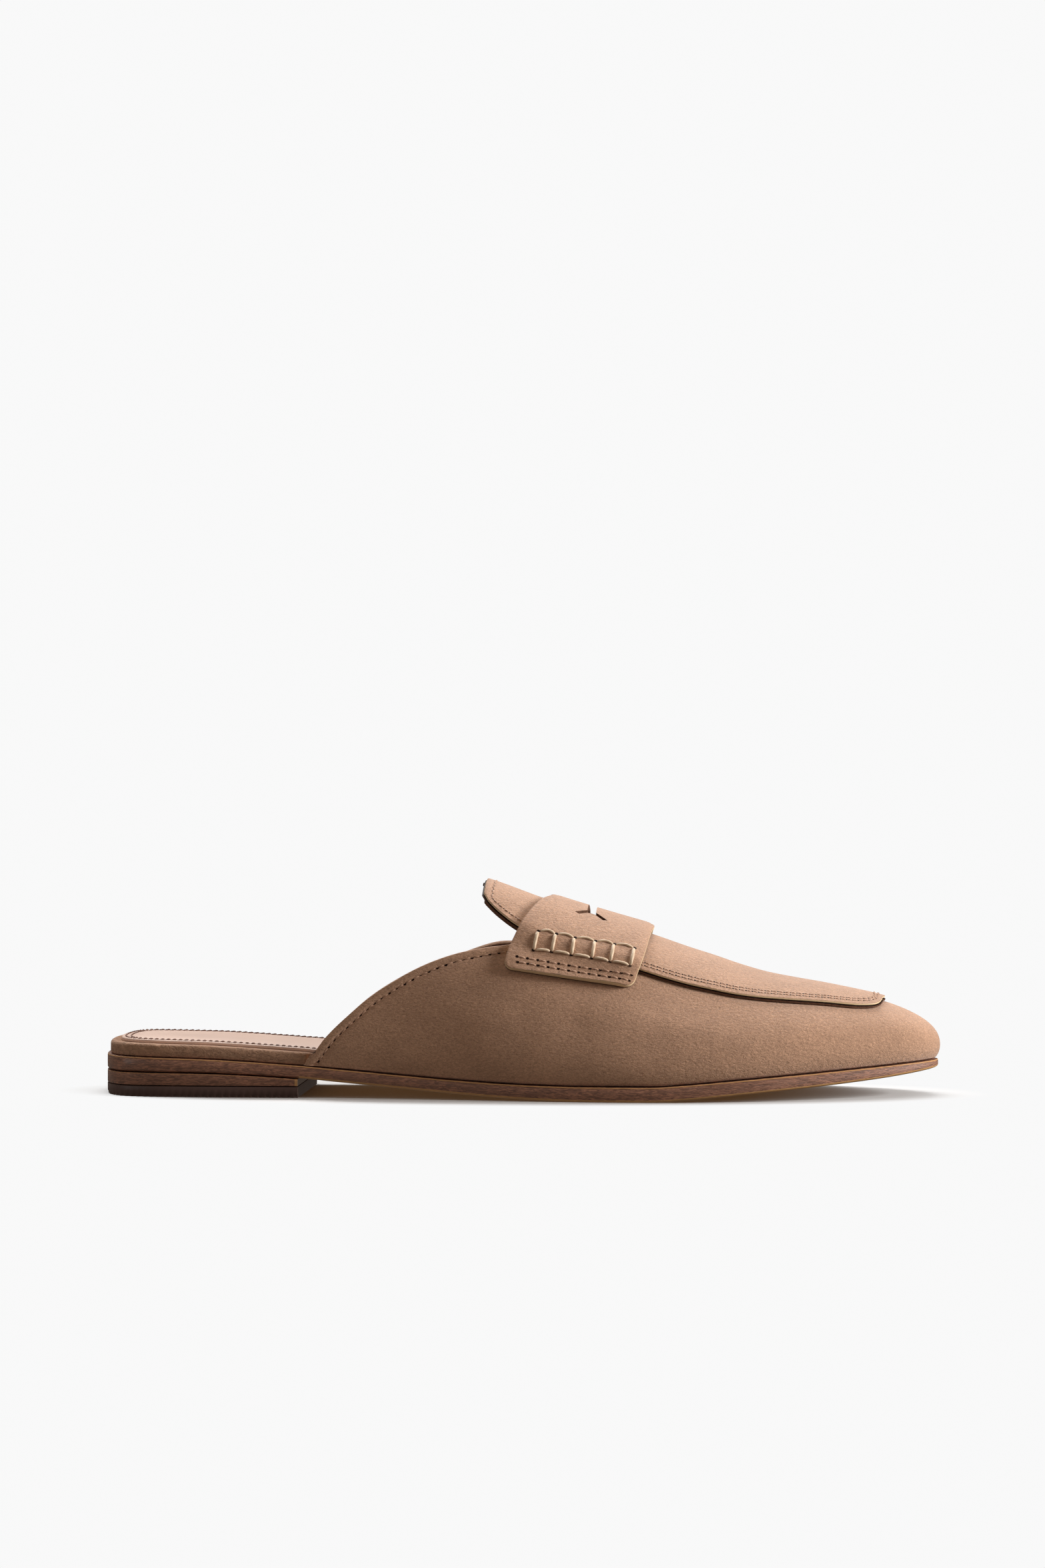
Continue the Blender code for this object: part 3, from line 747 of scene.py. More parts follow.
def nap_group():
    """Suede nap: a mottled colour, and the height of its short, brushed grain."""
    group, entry, result = new_group(
        "suede nap",
        ((COLOUR, "Colour", (0.5, 0.3, 0.2, 1)), (NUMBER, "Grain Scale", 1100.0),
         (NUMBER, "Mottling", 0.5), (NUMBER, "Grain Contrast", 0.5)),
        ((COLOUR, "Colour"), (NUMBER, "Height"), (NUMBER, "Roughness")))
    if entry is None:
        return group
    link = group.links.new
    place = group.nodes.new("ShaderNodeTexCoord")
    grain_way = add_node(group, "ShaderNodeMapping")
    grain_way.inputs["Scale"].default_value = (0.75, 0.9, 1.3)
    grain_way.inputs["Rotation"].default_value = (0.0, 0.35, 0.0)
    link(place.outputs["Object"], grain_way.inputs["Vector"])
    grain = add_node(group, "ShaderNodeTexNoise", Detail=3.0, Roughness=0.62, Distortion=1.1)
    link(grain_way.outputs["Vector"], grain.inputs["Vector"])
    link(entry.outputs["Grain Scale"], grain.inputs["Scale"])
    pore_scale = add_node(group, "ShaderNodeMath", operation="MULTIPLY")
    pore_scale.inputs[1].default_value = 0.55
    link(entry.outputs["Grain Scale"], pore_scale.inputs[0])
    pores = add_node(group, "ShaderNodeTexVoronoi", feature="SMOOTH_F1", Smoothness=0.6)
    link(grain_way.outputs["Vector"], pores.inputs["Vector"])
    link(pore_scale.outputs["Value"], pores.inputs["Scale"])
    patches = add_node(group, "ShaderNodeTexNoise", Scale=34.0, Detail=3.0, Roughness=0.55)
    link(place.outputs["Object"], patches.inputs["Vector"])
    strokes = add_node(group, "ShaderNodeTexNoise", Scale=160.0, Detail=2.0, Roughness=0.5)
    link(grain_way.outputs["Vector"], strokes.inputs["Vector"])
    height = add_node(group, "ShaderNodeMath", operation="MULTIPLY_ADD")
    height.inputs[1].default_value = 0.45
    link(pores.outputs["Distance"], height.inputs[0])
    link(grain.outputs["Fac"], height.inputs[2])
    link(height.outputs["Value"], result.inputs["Height"])
    patch_range = add_node(group, "ShaderNodeMapRange", From_Min=0.3, From_Max=0.7)
    link(patches.outputs["Fac"], patch_range.inputs["Value"])
    stroke_range = add_node(group, "ShaderNodeMapRange", From_Min=0.3, From_Max=0.7)
    link(strokes.outputs["Fac"], stroke_range.inputs["Value"])
    grain_range = add_node(group, "ShaderNodeMapRange", From_Min=0.35, From_Max=0.68)
    link(grain.outputs["Fac"], grain_range.inputs["Value"])
    both = add_node(group, "ShaderNodeMath", operation="ADD")
    link(patch_range.outputs["Result"], both.inputs[0])
    link(stroke_range.outputs["Result"], both.inputs[1])
    tone = add_node(group, "ShaderNodeMapRange", From_Min=0.0, From_Max=2.0, To_Min=0.84,
                    To_Max=1.14)
    link(both.outputs["Value"], tone.inputs["Value"])
    mottled = add_node(group, "ShaderNodeMix", data_type="FLOAT")
    mottled.inputs[2].default_value = 1.0
    link(entry.outputs["Mottling"], mottled.inputs[0])
    link(tone.outputs["Result"], mottled.inputs[3])
    fine = add_node(group, "ShaderNodeMapRange", To_Min=0.72, To_Max=1.2)
    link(grain_range.outputs["Result"], fine.inputs["Value"])
    grained = add_node(group, "ShaderNodeMix", data_type="FLOAT")
    grained.inputs[2].default_value = 1.0
    link(entry.outputs["Grain Contrast"], grained.inputs[0])
    link(fine.outputs["Result"], grained.inputs[3])
    factor = add_node(group, "ShaderNodeMath", operation="MULTIPLY")
    link(mottled.outputs[0], factor.inputs[0])
    link(grained.outputs[0], factor.inputs[1])
    shade = add_node(group, "ShaderNodeVectorMath", operation="SCALE")
    link(entry.outputs["Colour"], shade.inputs[0])
    link(factor.outputs["Value"], shade.inputs["Scale"])
    link(shade.outputs["Vector"], result.inputs["Colour"])
    rough = add_node(group, "ShaderNodeMapRange", To_Min=0.82, To_Max=1.0)
    link(grain.outputs["Fac"], rough.inputs["Value"])
    link(rough.outputs["Result"], result.inputs["Roughness"])
    return group


def streak_group():
    """Burnished leather edge: fine layers that run along the sole, with small tears."""
    group, entry, result = new_group(
        "edge streaks",
        ((COLOUR, "Dark", (0.1, 0.05, 0.03, 1)), (COLOUR, "Light", (0.2, 0.1, 0.06, 1)),
         (NUMBER, "Amount", 0.6)),
        ((COLOUR, "Colour"), (NUMBER, "Height"), (NUMBER, "Roughness")))
    if entry is None:
        return group
    link = group.links.new
    place = group.nodes.new("ShaderNodeTexCoord")
    along = add_node(group, "ShaderNodeMapping")
    along.inputs["Scale"].default_value = (0.22, 0.22, 1.7)
    link(place.outputs["Object"], along.inputs["Vector"])
    fibres = add_node(group, "ShaderNodeTexNoise", Scale=1300.0, Detail=4.0, Roughness=0.7,
                      Distortion=1.6)
    link(along.outputs["Vector"], fibres.inputs["Vector"])
    stains = add_node(group, "ShaderNodeTexNoise", Scale=60.0, Detail=2.0)
    link(place.outputs["Object"], stains.inputs["Vector"])
    mask = add_node(group, "ShaderNodeMapRange", From_Min=0.44, From_Max=0.60)
    link(fibres.outputs["Fac"], mask.inputs["Value"])
    stain = add_node(group, "ShaderNodeMapRange", From_Min=0.3, From_Max=0.7, To_Min=0.55)
    link(stains.outputs["Fac"], stain.inputs["Value"])
    amount = add_node(group, "ShaderNodeMath", operation="MULTIPLY")
    link(mask.outputs["Result"], amount.inputs[0])
    link(stain.outputs["Result"], amount.inputs[1])
    weighed = add_node(group, "ShaderNodeMath", operation="MULTIPLY")
    link(amount.outputs["Value"], weighed.inputs[0])
    link(entry.outputs["Amount"], weighed.inputs[1])
    tint = add_node(group, "ShaderNodeMix", data_type="RGBA")
    link(weighed.outputs["Value"], tint.inputs[0])
    link(entry.outputs["Dark"], tint.inputs[6])
    link(entry.outputs["Light"], tint.inputs[7])
    link(tint.outputs[2], result.inputs["Colour"])
    link(fibres.outputs["Fac"], result.inputs["Height"])
    rough = add_node(group, "ShaderNodeMapRange", To_Min=0.3, To_Max=0.62)
    link(fibres.outputs["Fac"], rough.inputs["Value"])
    link(rough.outputs["Result"], result.inputs["Roughness"])
    return group


def hide_group():
    """Smooth hide: fine closed grain with soft stains."""
    group, entry, result = new_group(
        "hide grain",
        ((COLOUR, "Colour", (0.6, 0.4, 0.3, 1)), (NUMBER, "Grain Scale", 1600.0),
         (NUMBER, "Stain", 0.5)),
        ((COLOUR, "Colour"), (NUMBER, "Height"), (NUMBER, "Roughness")))
    if entry is None:
        return group
    link = group.links.new
    place = group.nodes.new("ShaderNodeTexCoord")
    cells = add_node(group, "ShaderNodeTexVoronoi", feature="DISTANCE_TO_EDGE")
    link(place.outputs["Object"], cells.inputs["Vector"])
    link(entry.outputs["Grain Scale"], cells.inputs["Scale"])
    stains = add_node(group, "ShaderNodeTexNoise", Scale=45.0, Detail=4.0, Roughness=0.6)
    link(place.outputs["Object"], stains.inputs["Vector"])
    tone = add_node(group, "ShaderNodeMapRange", From_Min=0.3, From_Max=0.7, To_Min=0.86,
                    To_Max=1.08)
    link(stains.outputs["Fac"], tone.inputs["Value"])
    factor = add_node(group, "ShaderNodeMix", data_type="FLOAT")
    factor.inputs[2].default_value = 1.0
    link(entry.outputs["Stain"], factor.inputs[0])
    link(tone.outputs["Result"], factor.inputs[3])
    shade = add_node(group, "ShaderNodeVectorMath", operation="SCALE")
    link(entry.outputs["Colour"], shade.inputs[0])
    link(factor.outputs[0], shade.inputs["Scale"])
    link(shade.outputs["Vector"], result.inputs["Colour"])
    link(cells.outputs["Distance"], result.inputs["Height"])
    rough = add_node(group, "ShaderNodeMapRange", To_Min=0.38, To_Max=0.55)
    link(stains.outputs["Fac"], rough.inputs["Value"])
    link(rough.outputs["Result"], result.inputs["Roughness"])
    return group


def new_material(name, group, values, bump=0.0, depth=0.0002, **shader_values):
    """A material whose colour, roughness and bump come from a group of this shoe."""
    material = bpy.data.materials.get(name)
    if material:
        return material
    material = bpy.data.materials.new(name)
    material.use_nodes = True
    tree = material.node_tree
    shader = tree.nodes["Principled BSDF"]
    for title, value in shader_values.items():
        shader.inputs[title.replace("_", " ")].default_value = value
    effect = tree.nodes.new("ShaderNodeGroup")
    effect.node_tree = group
    for title, value in values.items():
        effect.inputs[title].default_value = value
    tree.links.new(effect.outputs["Colour"], shader.inputs["Base Color"])
    tree.links.new(effect.outputs["Roughness"], shader.inputs["Roughness"])
    if bump > 0:
        relief = add_node(tree, "ShaderNodeBump", Strength=bump, Distance=depth)
        tree.links.new(effect.outputs["Height"], relief.inputs["Height"])
        tree.links.new(relief.outputs["Normal"], shader.inputs["Normal"])
    return material


def tinted(colour, factor=1.0):
    """A colour with its alpha, made lighter or darker."""
    return tuple(min(value * factor, 1.0) for value in colour) + (1.0,)


def suede_material():
    """Suede of upper, apron and strap."""
    return new_material(
        "brushed suede", nap_group(), {"Colour": tinted(colours().suede),
                                       "Grain Scale": 1800.0, "Mottling": 0.7,
                                       "Grain Contrast": 0.9},
        bump=0.8, depth=0.0004, Sheen_Weight=0.32, Sheen_Roughness=0.45,
        Specular_IOR_Level=0.18)


def suede_wrap_material():
    """Coarser suede around the footbed."""
    return new_material(
        "suede wrap", nap_group(), {"Colour": tinted(colours().suede, 0.86),
                                    "Grain Scale": 800.0, "Mottling": 0.8,
                                    "Grain Contrast": 1.0},
        bump=0.9, depth=0.0005, Sheen_Weight=0.15, Specular_IOR_Level=0.15)


def raw_edge_material():
    """Cut edge of the suede, with its rough, darker core."""
    return new_material(
        "raw edge", nap_group(), {"Colour": linear(116, 84, 66) + (1.0,),
                                  "Grain Scale": 1500.0, "Mottling": 0.8,
                                  "Grain Contrast": 1.0},
        bump=1.0, depth=0.0006, Specular_IOR_Level=0.15)


def groove_shade_material():
    """Dark gap between two layers: painted shade in the gap."""
    return new_material(
        "groove", hide_group(), {"Colour": linear(44, 28, 22) + (1.0,)},
        Specular_IOR_Level=0.1)


def hole_shade_material():
    """Inside of a pricked hole: painted shade, near-black where the hole goes down."""
    return new_material(
        "pinhole", hide_group(), {"Colour": linear(34, 20, 15) + (1.0,)},
        Specular_IOR_Level=0.05)


def lining_material():
    """Dark lining leather."""
    return new_material(
        "lining hide", hide_group(), {"Colour": tinted(colours().lining),
                                      "Grain Scale": 1300.0, "Stain": 0.8},
        bump=0.25, depth=0.0002, Specular_IOR_Level=0.3)


def edge_paint_material():
    """Edge paint of the strap, half gloss."""
    return new_material(
        "edge paint", hide_group(), {"Colour": tinted(colours().edge_paint),
                                     "Grain Scale": 700.0, "Stain": 0.6},
        bump=0.12, depth=0.0002, Coat_Weight=0.25, Coat_Roughness=0.35)


def sock_material():
    """Leather of the insole sock."""
    return new_material(
        "sock leather", hide_group(), {"Colour": tinted(colours().sock),
                                       "Grain Scale": 1900.0, "Stain": 0.35},
        bump=0.3, depth=0.00012, Coat_Weight=0.12, Coat_Roughness=0.4)


def sole_edge_material():
    """Stained, burnished edge of outsole and heel."""
    return new_material(
        "sole edge", streak_group(), {"Dark": tinted(colours().sole_edge),
                                      "Light": tinted(colours().sole_edge, 3.0),
                                      "Amount": 1.0},
        bump=0.5, depth=0.0003, Coat_Weight=0.5, Coat_Roughness=0.3)


def sole_leather_material():
    """Unstained sole leather at its lines, bevel and underside; on the outsole's line below its top
    edge the tan is a painted highlight.
    """
    return new_material(
        "sole leather", streak_group(), {"Dark": tinted(colours().sole_leather, 0.8),
                                         "Light": tinted(colours().sole_leather, 1.15),
                                         "Amount": 0.8},
        bump=0.2, depth=0.0002, Coat_Weight=0.15, Coat_Roughness=0.4)


def breast_material():
    """Smooth, greyer face of the heel under the arch."""
    return new_material(
        "heel breast", hide_group(), {"Colour": linear(112, 92, 80) + (1.0,),
                                      "Grain Scale": 900.0, "Stain": 0.6},
        bump=0.1, depth=0.0002, Coat_Weight=0.3, Coat_Roughness=0.3)


def top_lift_material():
    """Rubber of the top lift."""
    return new_material(
        "top lift rubber", hide_group(), {"Colour": tinted(colours().top_lift),
                                          "Grain Scale": 900.0, "Stain": 0.6},
        bump=0.15, depth=0.0002, Specular_IOR_Level=0.4)


def thread_material():
    """Fine thread in the suede's own colour."""
    return new_material(
        "fine thread", hide_group(), {"Colour": tinted(colours().suede, 0.98),
                                      "Grain Scale": 3000.0, "Stain": 0.5},
        bump=0.4, depth=0.0001, Sheen_Weight=0.3)


def sock_thread_material():
    """Brown thread of the insole sock."""
    return new_material(
        "sock thread", hide_group(), {"Colour": linear(118, 78, 58) + (1.0,),
                                      "Grain Scale": 3000.0, "Stain": 0.5},
        bump=0.4, depth=0.0001)


def cord_material():
    """Thick waxed cord on the strap."""
    return new_material(
        "strap cord", hide_group(), {"Colour": tinted(colours().cord),
                                     "Grain Scale": 2600.0, "Stain": 0.6},
        bump=0.6, depth=0.00015, Sheen_Weight=0.25)


class MULE_OT_outsole(bpy.types.Operator):
    """Builds the outsole with its stained edge, its tan lines and its underside; the tan line below
    its top edge is a painted highlight of that bevel
    """
    bl_idname = "mule.outsole"
    bl_label = "Outsole"

    def execute(self, context):
        def at(share, lift=0.0):
            return lambda x: (outsole_bottom(x) * (1 - share) + outsole_top(x) * share
                              + lift)

        rings = (
            (1.10 * MM, at(0.0)),
            (0.55 * MM, at(0.0, 0.16 * MM)),
            (0.15 * MM, at(0.0, 0.42 * MM)),
            (0.02 * MM, at(0.0, 0.75 * MM)),
            (0.00 * MM, at(0.5)),
            (0.02 * MM, at(1.0, -0.50 * MM)),
            (0.14 * MM, at(1.0, -0.40 * MM)),
            (0.06 * MM, at(1.0, -0.28 * MM)),
            (0.16 * MM, at(1.0, -0.08 * MM)),
            (0.40 * MM, at(1.0)),
        )
        # Slot 1 is the tan sole leather: the bottom bevel and underside, and the bead just below
        # the top edge, whose tan is a painted highlight of that bevel.
        slots = (1, 1, 1, 1, 0, 0, 0, 1, 1, 0, 0)
        bm = plate(round_places(SOLE_COLUMNS), rings, slots)
        for face in bm.faces:
            middle = face.calc_center_median()
            x = middle.x - HEEL_PLACE
            if face.material_index and x < HEEL_LENGTH and middle.z < outsole_top(x) - 1.2 * MM:
                face.material_index = 0
        finish_piece("outsole_dressed", bm, (sole_edge_material(), sole_leather_material()),
                     ("outsole",), sharp=50)
        return {"FINISHED"}


class MULE_OT_heel(bpy.types.Operator):
    """Builds the heel stack with its lines, and the notched top lift"""
    bl_idname = "mule.heel"
    bl_label = "Heel"

    def execute(self, context):
        low = TOP_LIFT_THICKNESS + SEAT_GAP

        def at(share, lift=0.0):
            return lambda x: low * (1 - share) + (outsole_bottom(x) - SEAT_GAP) * share + lift

        places = round_places(HEEL_COLUMNS, HEEL_LENGTH)
        rings = (
            (0.10 * MM, at(0.0)),
            (0.00 * MM, at(0.0, 0.12 * MM)),
            (0.02 * MM, at(1.0, -0.32 * MM)),
            (0.10 * MM, at(1.0, -0.26 * MM)),
            (0.06 * MM, at(1.0, -0.10 * MM)),
            (0.14 * MM, at(1.0)),
        )
        places = np.append(places[places < HEEL_LENGTH - 2 * MM],
                           (HEEL_LENGTH - BREAST_EDGE, HEEL_LENGTH))
        bm = plate(places, rings, (0, 0, 0, 0, 1, 0, 0))
        for face in bm.faces:
            x = face.calc_center_median().x - HEEL_PLACE
            if x > HEEL_LENGTH - 0.05 * MM:
                face.material_index = 2
            elif x > HEEL_LENGTH - BREAST_EDGE:
                face.material_index = 1
        finish_piece("heel_stack_dressed", bm,
                     (sole_edge_material(), sole_leather_material(), breast_material()),
                     ("heel_stack",), sharp=50)
        line = EDGE_LINE[0]
        line = line[line[:, 0] <= HEEL_LENGTH]
        length = path_lengths(line)
        even = np.interp(np.linspace(0, length[-1], TOP_LIFT_COLUMNS), length, line[:, 0])
        even[-1] = HEEL_LENGTH
        rings = (
            (0.35 * MM, constant(0.0)),
            (0.18 * MM, constant(0.75 * MM)),
            (0.02 * MM, constant(1.10 * MM)),
            (0.00 * MM, constant(TOP_LIFT_THICKNESS - 0.2 * MM)),
            (0.18 * MM, constant(TOP_LIFT_THICKNESS)),
        )
        bm = plate(even, rings, (0,) * 6, notch=sizes().lift_notch)
        finish_piece("top_lift_dressed", bm, (top_lift_material(),),
                     ("top_lift",), sharp=50)
        return {"FINISHED"}


def round_rings(margin, low, high, radius, steps=5):
    """Rings of a plate whose lower edge is square and whose upper edge is round."""
    rings = [(lambda x: margin(x) + 0.3 * radius, low),
             (margin, lambda x: low(x) + 0.3 * radius)]
    for k in range(steps):
        turn = math.pi / 2 * k / (steps - 1)
        back = radius * (1 - math.cos(turn))
        down = radius * (1 - math.sin(turn))
        rings.append((lambda x, back=back: margin(x) + back,
                      lambda x, down=down: high(x) - down))
    return rings


class MULE_OT_footbed(bpy.types.Operator):
    """Builds the suede-wrapped footbed and the leather sock on it"""
    bl_idname = "mule.footbed"
    bl_label = "Footbed"

    def execute(self, context):
        step = [SOLE_LENGTH * row.along for row in FOOTBED_STEP[1:3]]
        places = np.array(sorted(list(round_places(SOLE_COLUMNS)) + step))
        rings = round_rings(footbed_margin, lambda x: outsole_top(x) + SEAT_GAP, footbed_top,
                            1.1 * MM)
        bm = plate(places, rings, (0,) * (len(rings) + 1))
        finish_piece("footbed_dressed", bm, (suede_wrap_material(),), ("footbed",),
                     sharp=60)
        rings = round_rings(insole_margin, lambda x: footbed_top(x) + 0.06 * MM, insole_top,
                            0.4 * MM, 3)
        bm = plate(round_places(SOLE_COLUMNS), rings, (0,) * (len(rings) + 1))
        finish_piece("insole_dressed", bm, (sock_material(),), ("insole",),
                     sharp=60)
        return {"FINISHED"}


# Soft troughs (depth below 0) and ridges of the upper, placed on its outer side: from
# one place to another along the sole (m) and round the girth, with their half width and depth
Crease = namedtuple("Crease", "start_x start_girth end_x end_girth half_width depth")
CREASES = (
    Crease(0.1180, -0.640, 0.1480, -0.700, 0.0070, -0.00035),
    Crease(0.1340, -0.800, 0.1720, -0.790, 0.0090, -0.00030),
    Crease(0.1500, -0.560, 0.1700, -0.560, 0.0040, -0.00020),
    Crease(0.1740, -0.600, 0.2050, -0.640, 0.0060, -0.00020),
    Crease(0.0900, -0.750, 0.1100, -0.820, 0.0080, -0.00025),
    Crease(0.1560, -0.700, 0.1900, -0.730, 0.0050, 0.00018),
    Crease(0.2060, -0.620, 0.2280, -0.700, 0.0060, 0.00015),
    Crease(0.1180, 0.640, 0.1480, 0.700, 0.0070, -0.00035),
    Crease(0.1340, 0.800, 0.1720, 0.790, 0.0090, -0.00030),
    Crease(0.1740, 0.600, 0.2050, 0.640, 0.0060, -0.00020),
)


def crease_heights(points):
    """How far each point of a skin in the frame stands off it through the creases."""
    total = np.zeros(points.shape[:2])
    for crease in CREASES:
        start = last_points(crease.start_x, [crease.start_girth])[0] + PLACE
        end = last_points(crease.end_x, [crease.end_girth])[0] + PLACE
        way = end - start
        share = np.clip((points - start) @ way / (way @ way), 0.0, 1.0)
        apart = np.linalg.norm(points - (start + share[..., None] * way), axis=2)
        total += crease.depth * np.exp(-(apart / crease.half_width) ** 2)
    return total


UPPER_COLUMNS = 170
UPPER_ROWS = 61
# The collar's inner side rises a little further round the instep than its outer side
INNER_RISE = 0.036
INNER_RISE_PLACE = 0.1230
INNER_RISE_REACH = 0.0110
# Where the collar ends at the throat, and how its fold stands up beside a shallow groove
COLLAR_END = 0.560
COLLAR_ROLL = 0.00042
COLLAR_GROOVE = 0.00030


class MULE_OT_upper(bpy.types.Operator):
    """Builds the hollow upper with its folded collar"""
    bl_idname = "mule.upper"
    bl_label = "Upper"

    def execute(self, context):
        def inner_rise(x):
            return INNER_RISE * math.exp(-((x - INNER_RISE_PLACE) / INNER_RISE_REACH) ** 2)

        places = even_places(UPPER_START, TOE_X, UPPER_COLUMNS)
        rows = np.linspace(0.0, 1.0, UPPER_ROWS)
        points = skin_points(places, constant(0.0), collar_share, rows, inner_rise)
        edge = KDTree(len(points) * 4)
        top = points[:, -1]
        number = 0
        for start, end in zip(top[:-1], top[1:]):
            if max(start[0], end[0]) - HEEL_PLACE > COLLAR_END * SOLE_LENGTH:
                continue
            for part in range(4):
                edge.insert(start + (end - start) * part / 4, number)
                number += 1
        edge.balance()
        fold = sizes().collar_fold
        swell = crease_heights(points)
        for k in range(points.shape[0]):
            for j in range(points.shape[1]):
                away = edge.find(points[k, j])[2] / fold
                swell[k, j] += COLLAR_ROLL * (1 - smooth_step((away - 0.80) / 0.20))
                swell[k, j] -= COLLAR_GROOVE * math.exp(-((away - 1) / 0.22) ** 2)
        bm = new_sheet(points.shape[0] - 1, points.shape[1] - 1)
        place_grid(bm, points)
        rim = (RimRow(0.0, 0.30 * MM, 0), RimRow(0.18, 0.04 * MM, 0), RimRow(0.5, 0.0, 0),
               RimRow(0.82, 0.08 * MM, 0), RimRow(1.0, 0.42 * MM, 0))
        slab(bm, lambda k, j: -UPPER_WALL, lambda k, j: swell[k, j], rim, inner_slot=1,
             flat_foot=True)
        finish_piece("upper_dressed", bm, (suede_material(), lining_material()),
                     ("upper",), sharp=60)
        return {"FINISHED"}


# Edge of the apron from underside to face: raw edge, a drawn-in band with the painted shade of the
# gap between the layers, edge paint, then suede.
LAYERED_RIM = (
    RimRow(0.00, 0.00 * MM, 1),
    RimRow(0.06, -0.42 * MM, 1),
    RimRow(0.42, -0.40 * MM, 2),
    RimRow(0.46, 0.30 * MM, 2),
    RimRow(0.58, 0.34 * MM, 2),
    RimRow(0.62, -0.02 * MM, 3),
    RimRow(0.78, -0.04 * MM, 3),
    RimRow(0.92, 0.04 * MM, 0),
    RimRow(1.00, 0.24 * MM, 0),
)


APRON_COLUMNS = 130
LINING_COLUMNS = 24
LINING_ROWS = 40


class MULE_OT_apron(bpy.types.Operator):
    """Builds the raised apron with its tongue, and the lining layer under the tongue"""
    bl_idname = "mule.apron"
    bl_label = "Apron"

    def execute(self, context):
        places = even_places(TONGUE_TIP, TOE_X, APRON_COLUMNS)
        near_edge = np.array([0.0, 0.010, 0.022, 0.036, 0.052, 0.072])
        rows = np.concatenate([near_edge, np.linspace(0.1, 1.0, 22)])
        points = skin_points(places, apron_share, constant(1.0), rows)
        bm = new_sheet(points.shape[0] - 1, points.shape[1] - 1)
        place_grid(bm, points)
        slab(bm, constant_pair(SEAT_GAP), constant_pair(SEAT_GAP + APRON_THICKNESS),
             LAYERED_RIM)
        finish_piece("apron_dressed", bm,
                     (suede_material(), raw_edge_material(), groove_shade_material(),
                      edge_paint_material()), ("apron",), sharp=50)
        points = lining_points(LINING_COLUMNS, LINING_ROWS)
        bm = new_sheet(points.shape[0] - 1, points.shape[1] - 1)
        place_grid(bm, points)
        rim = (RimRow(0.0, 0.15 * MM, 1), RimRow(0.3, 0.0, 1), RimRow(0.8, -0.05 * MM, 1),
               RimRow(1.0, 0.12 * MM, 0))
        slab(bm, constant_pair(-LINING_THICKNESS), constant_pair(0.0), rim, inner_slot=0)
        finish_piece("tongue_lining_dressed", bm, (lining_material(), raw_edge_material()),
                     ("tongue_lining",), sharp=50)
        return {"FINISHED"}


def constant_pair(value):
    """A height that is the same at every column and row."""
    return lambda k, j: value


def lining_points(columns, rows):
    """The skin of the tongue's lining, from its tip to the throat of the upper."""
    x = np.linspace(TONGUE_TIP, STRAP_BACK + STRAP_WIDTH, OUTLINE_POINTS)
    points = np.empty((columns + 1, rows + 1, 3))
    for j in range(rows + 1):
        across = 2 * j / rows - 1
        over = collar_share(x) - (1 - abs(across) * (1 - apron_share(x)))
        end = x[np.argmax(over > 0)] - UPPER_WALL / 2
        start = TONGUE_TIP + LINING_SETBACK
        for k in range(columns + 1):
            at = start + (end - start) * k / columns
            points[k, j] = last_points(at, [across * (1 - apron_share(at))])[0]
    return points + PLACE


def strap_edges(rise):
    """Back and front edge of the strap at a rise from its end (0) to the ridge (1)."""
    rises = column(STRAP_EDGES, "rise")
    back = STRAP_BACK + STRAP_SWEEP * smooth_line(rises, column(STRAP_EDGES, "back"), rise)
    front = STRAP_WIDTH + STRAP_SWEEP * smooth_line(rises, column(STRAP_EDGES, "front"), rise)
    return float(back), float(STRAP_BACK + front)


def strap_raise(x, across, along):
    """How far the strap's underside stands off the last."""
    outside = apron_share(x) - (1 - abs(across) * (1 - STRAP_END_SHARE))
    ramp = smooth_step((STRAP_SETTLE_END - outside) / (STRAP_SETTLE_END - STRAP_SETTLE_START))
    return SEAT_GAP + ramp * (SEAT_GAP + APRON_THICKNESS + STRAP_LIFT * along ** 2)


def strap_place(across, along, rise=0.0):
    """A place on the strap's face, its way out and its way forward."""
    back, front = strap_edges(1 - abs(across))
    x = back + (front - back) * along
    height = strap_raise(x, across, along) + STRAP_THICKNESS + rise
    return last_place(x, across * (1 - STRAP_END_SHARE), height)


def slot_cutter(material):
    """Body that cuts the forked slot, with the raw edge's material on its walls."""
    end = SLOT_LENGTH / 2
    spread = SLOT_SPREAD / 2
    fork = end - SLOT_FORK
    quarter = [(SLOT_WIDTH / 2, fork), (spread + SLOT_SLIT / 2, end - SLOT_SLIT / 2),
               (spread - SLOT_SLIT / 2, end), (SLOT_POINT_WIDTH / 2, fork + SLOT_POINT_BACK)]
    loop = quarter + [(-x, y) for x, y in quarter[::-1]]
    loop = loop + [(-x, -y) for x, y in loop]
    ridge_y = BALL_WIDTH * float(read(LAST_FORM, "offset", SLOT_PLACE))
    bm = bmesh.new()
    ring = bmesh.ops.create_circle(bm, cap_ends=True, radius=SLOT_LENGTH, segments=len(loop))
    for vert, (x, y) in zip(ring["verts"], loop):
        vert.co = PLACE + (SLOT_PLACE + x, ridge_y + y, INSTEP_HEIGHT / 2)
    grown = bmesh.ops.extrude_face_region(bm, geom=list(bm.faces), use_keep_orig=True)
    top = [item for item in grown["geom"] if isinstance(item, bmesh.types.BMVert)]
    bmesh.ops.translate(bm, verts=top, vec=(0.0, 0.0, INSTEP_HEIGHT))
    bmesh.ops.recalc_face_normals(bm, faces=bm.faces)
    mesh = bpy.data.meshes.new("slot_cutter")
    bm.to_mesh(mesh)
    bm.free()
    mesh.materials.append(material)
    cutter = bpy.data.objects.new("slot_cutter", mesh)
    bpy.context.scene.collection.objects.link(cutter)
    return cutter


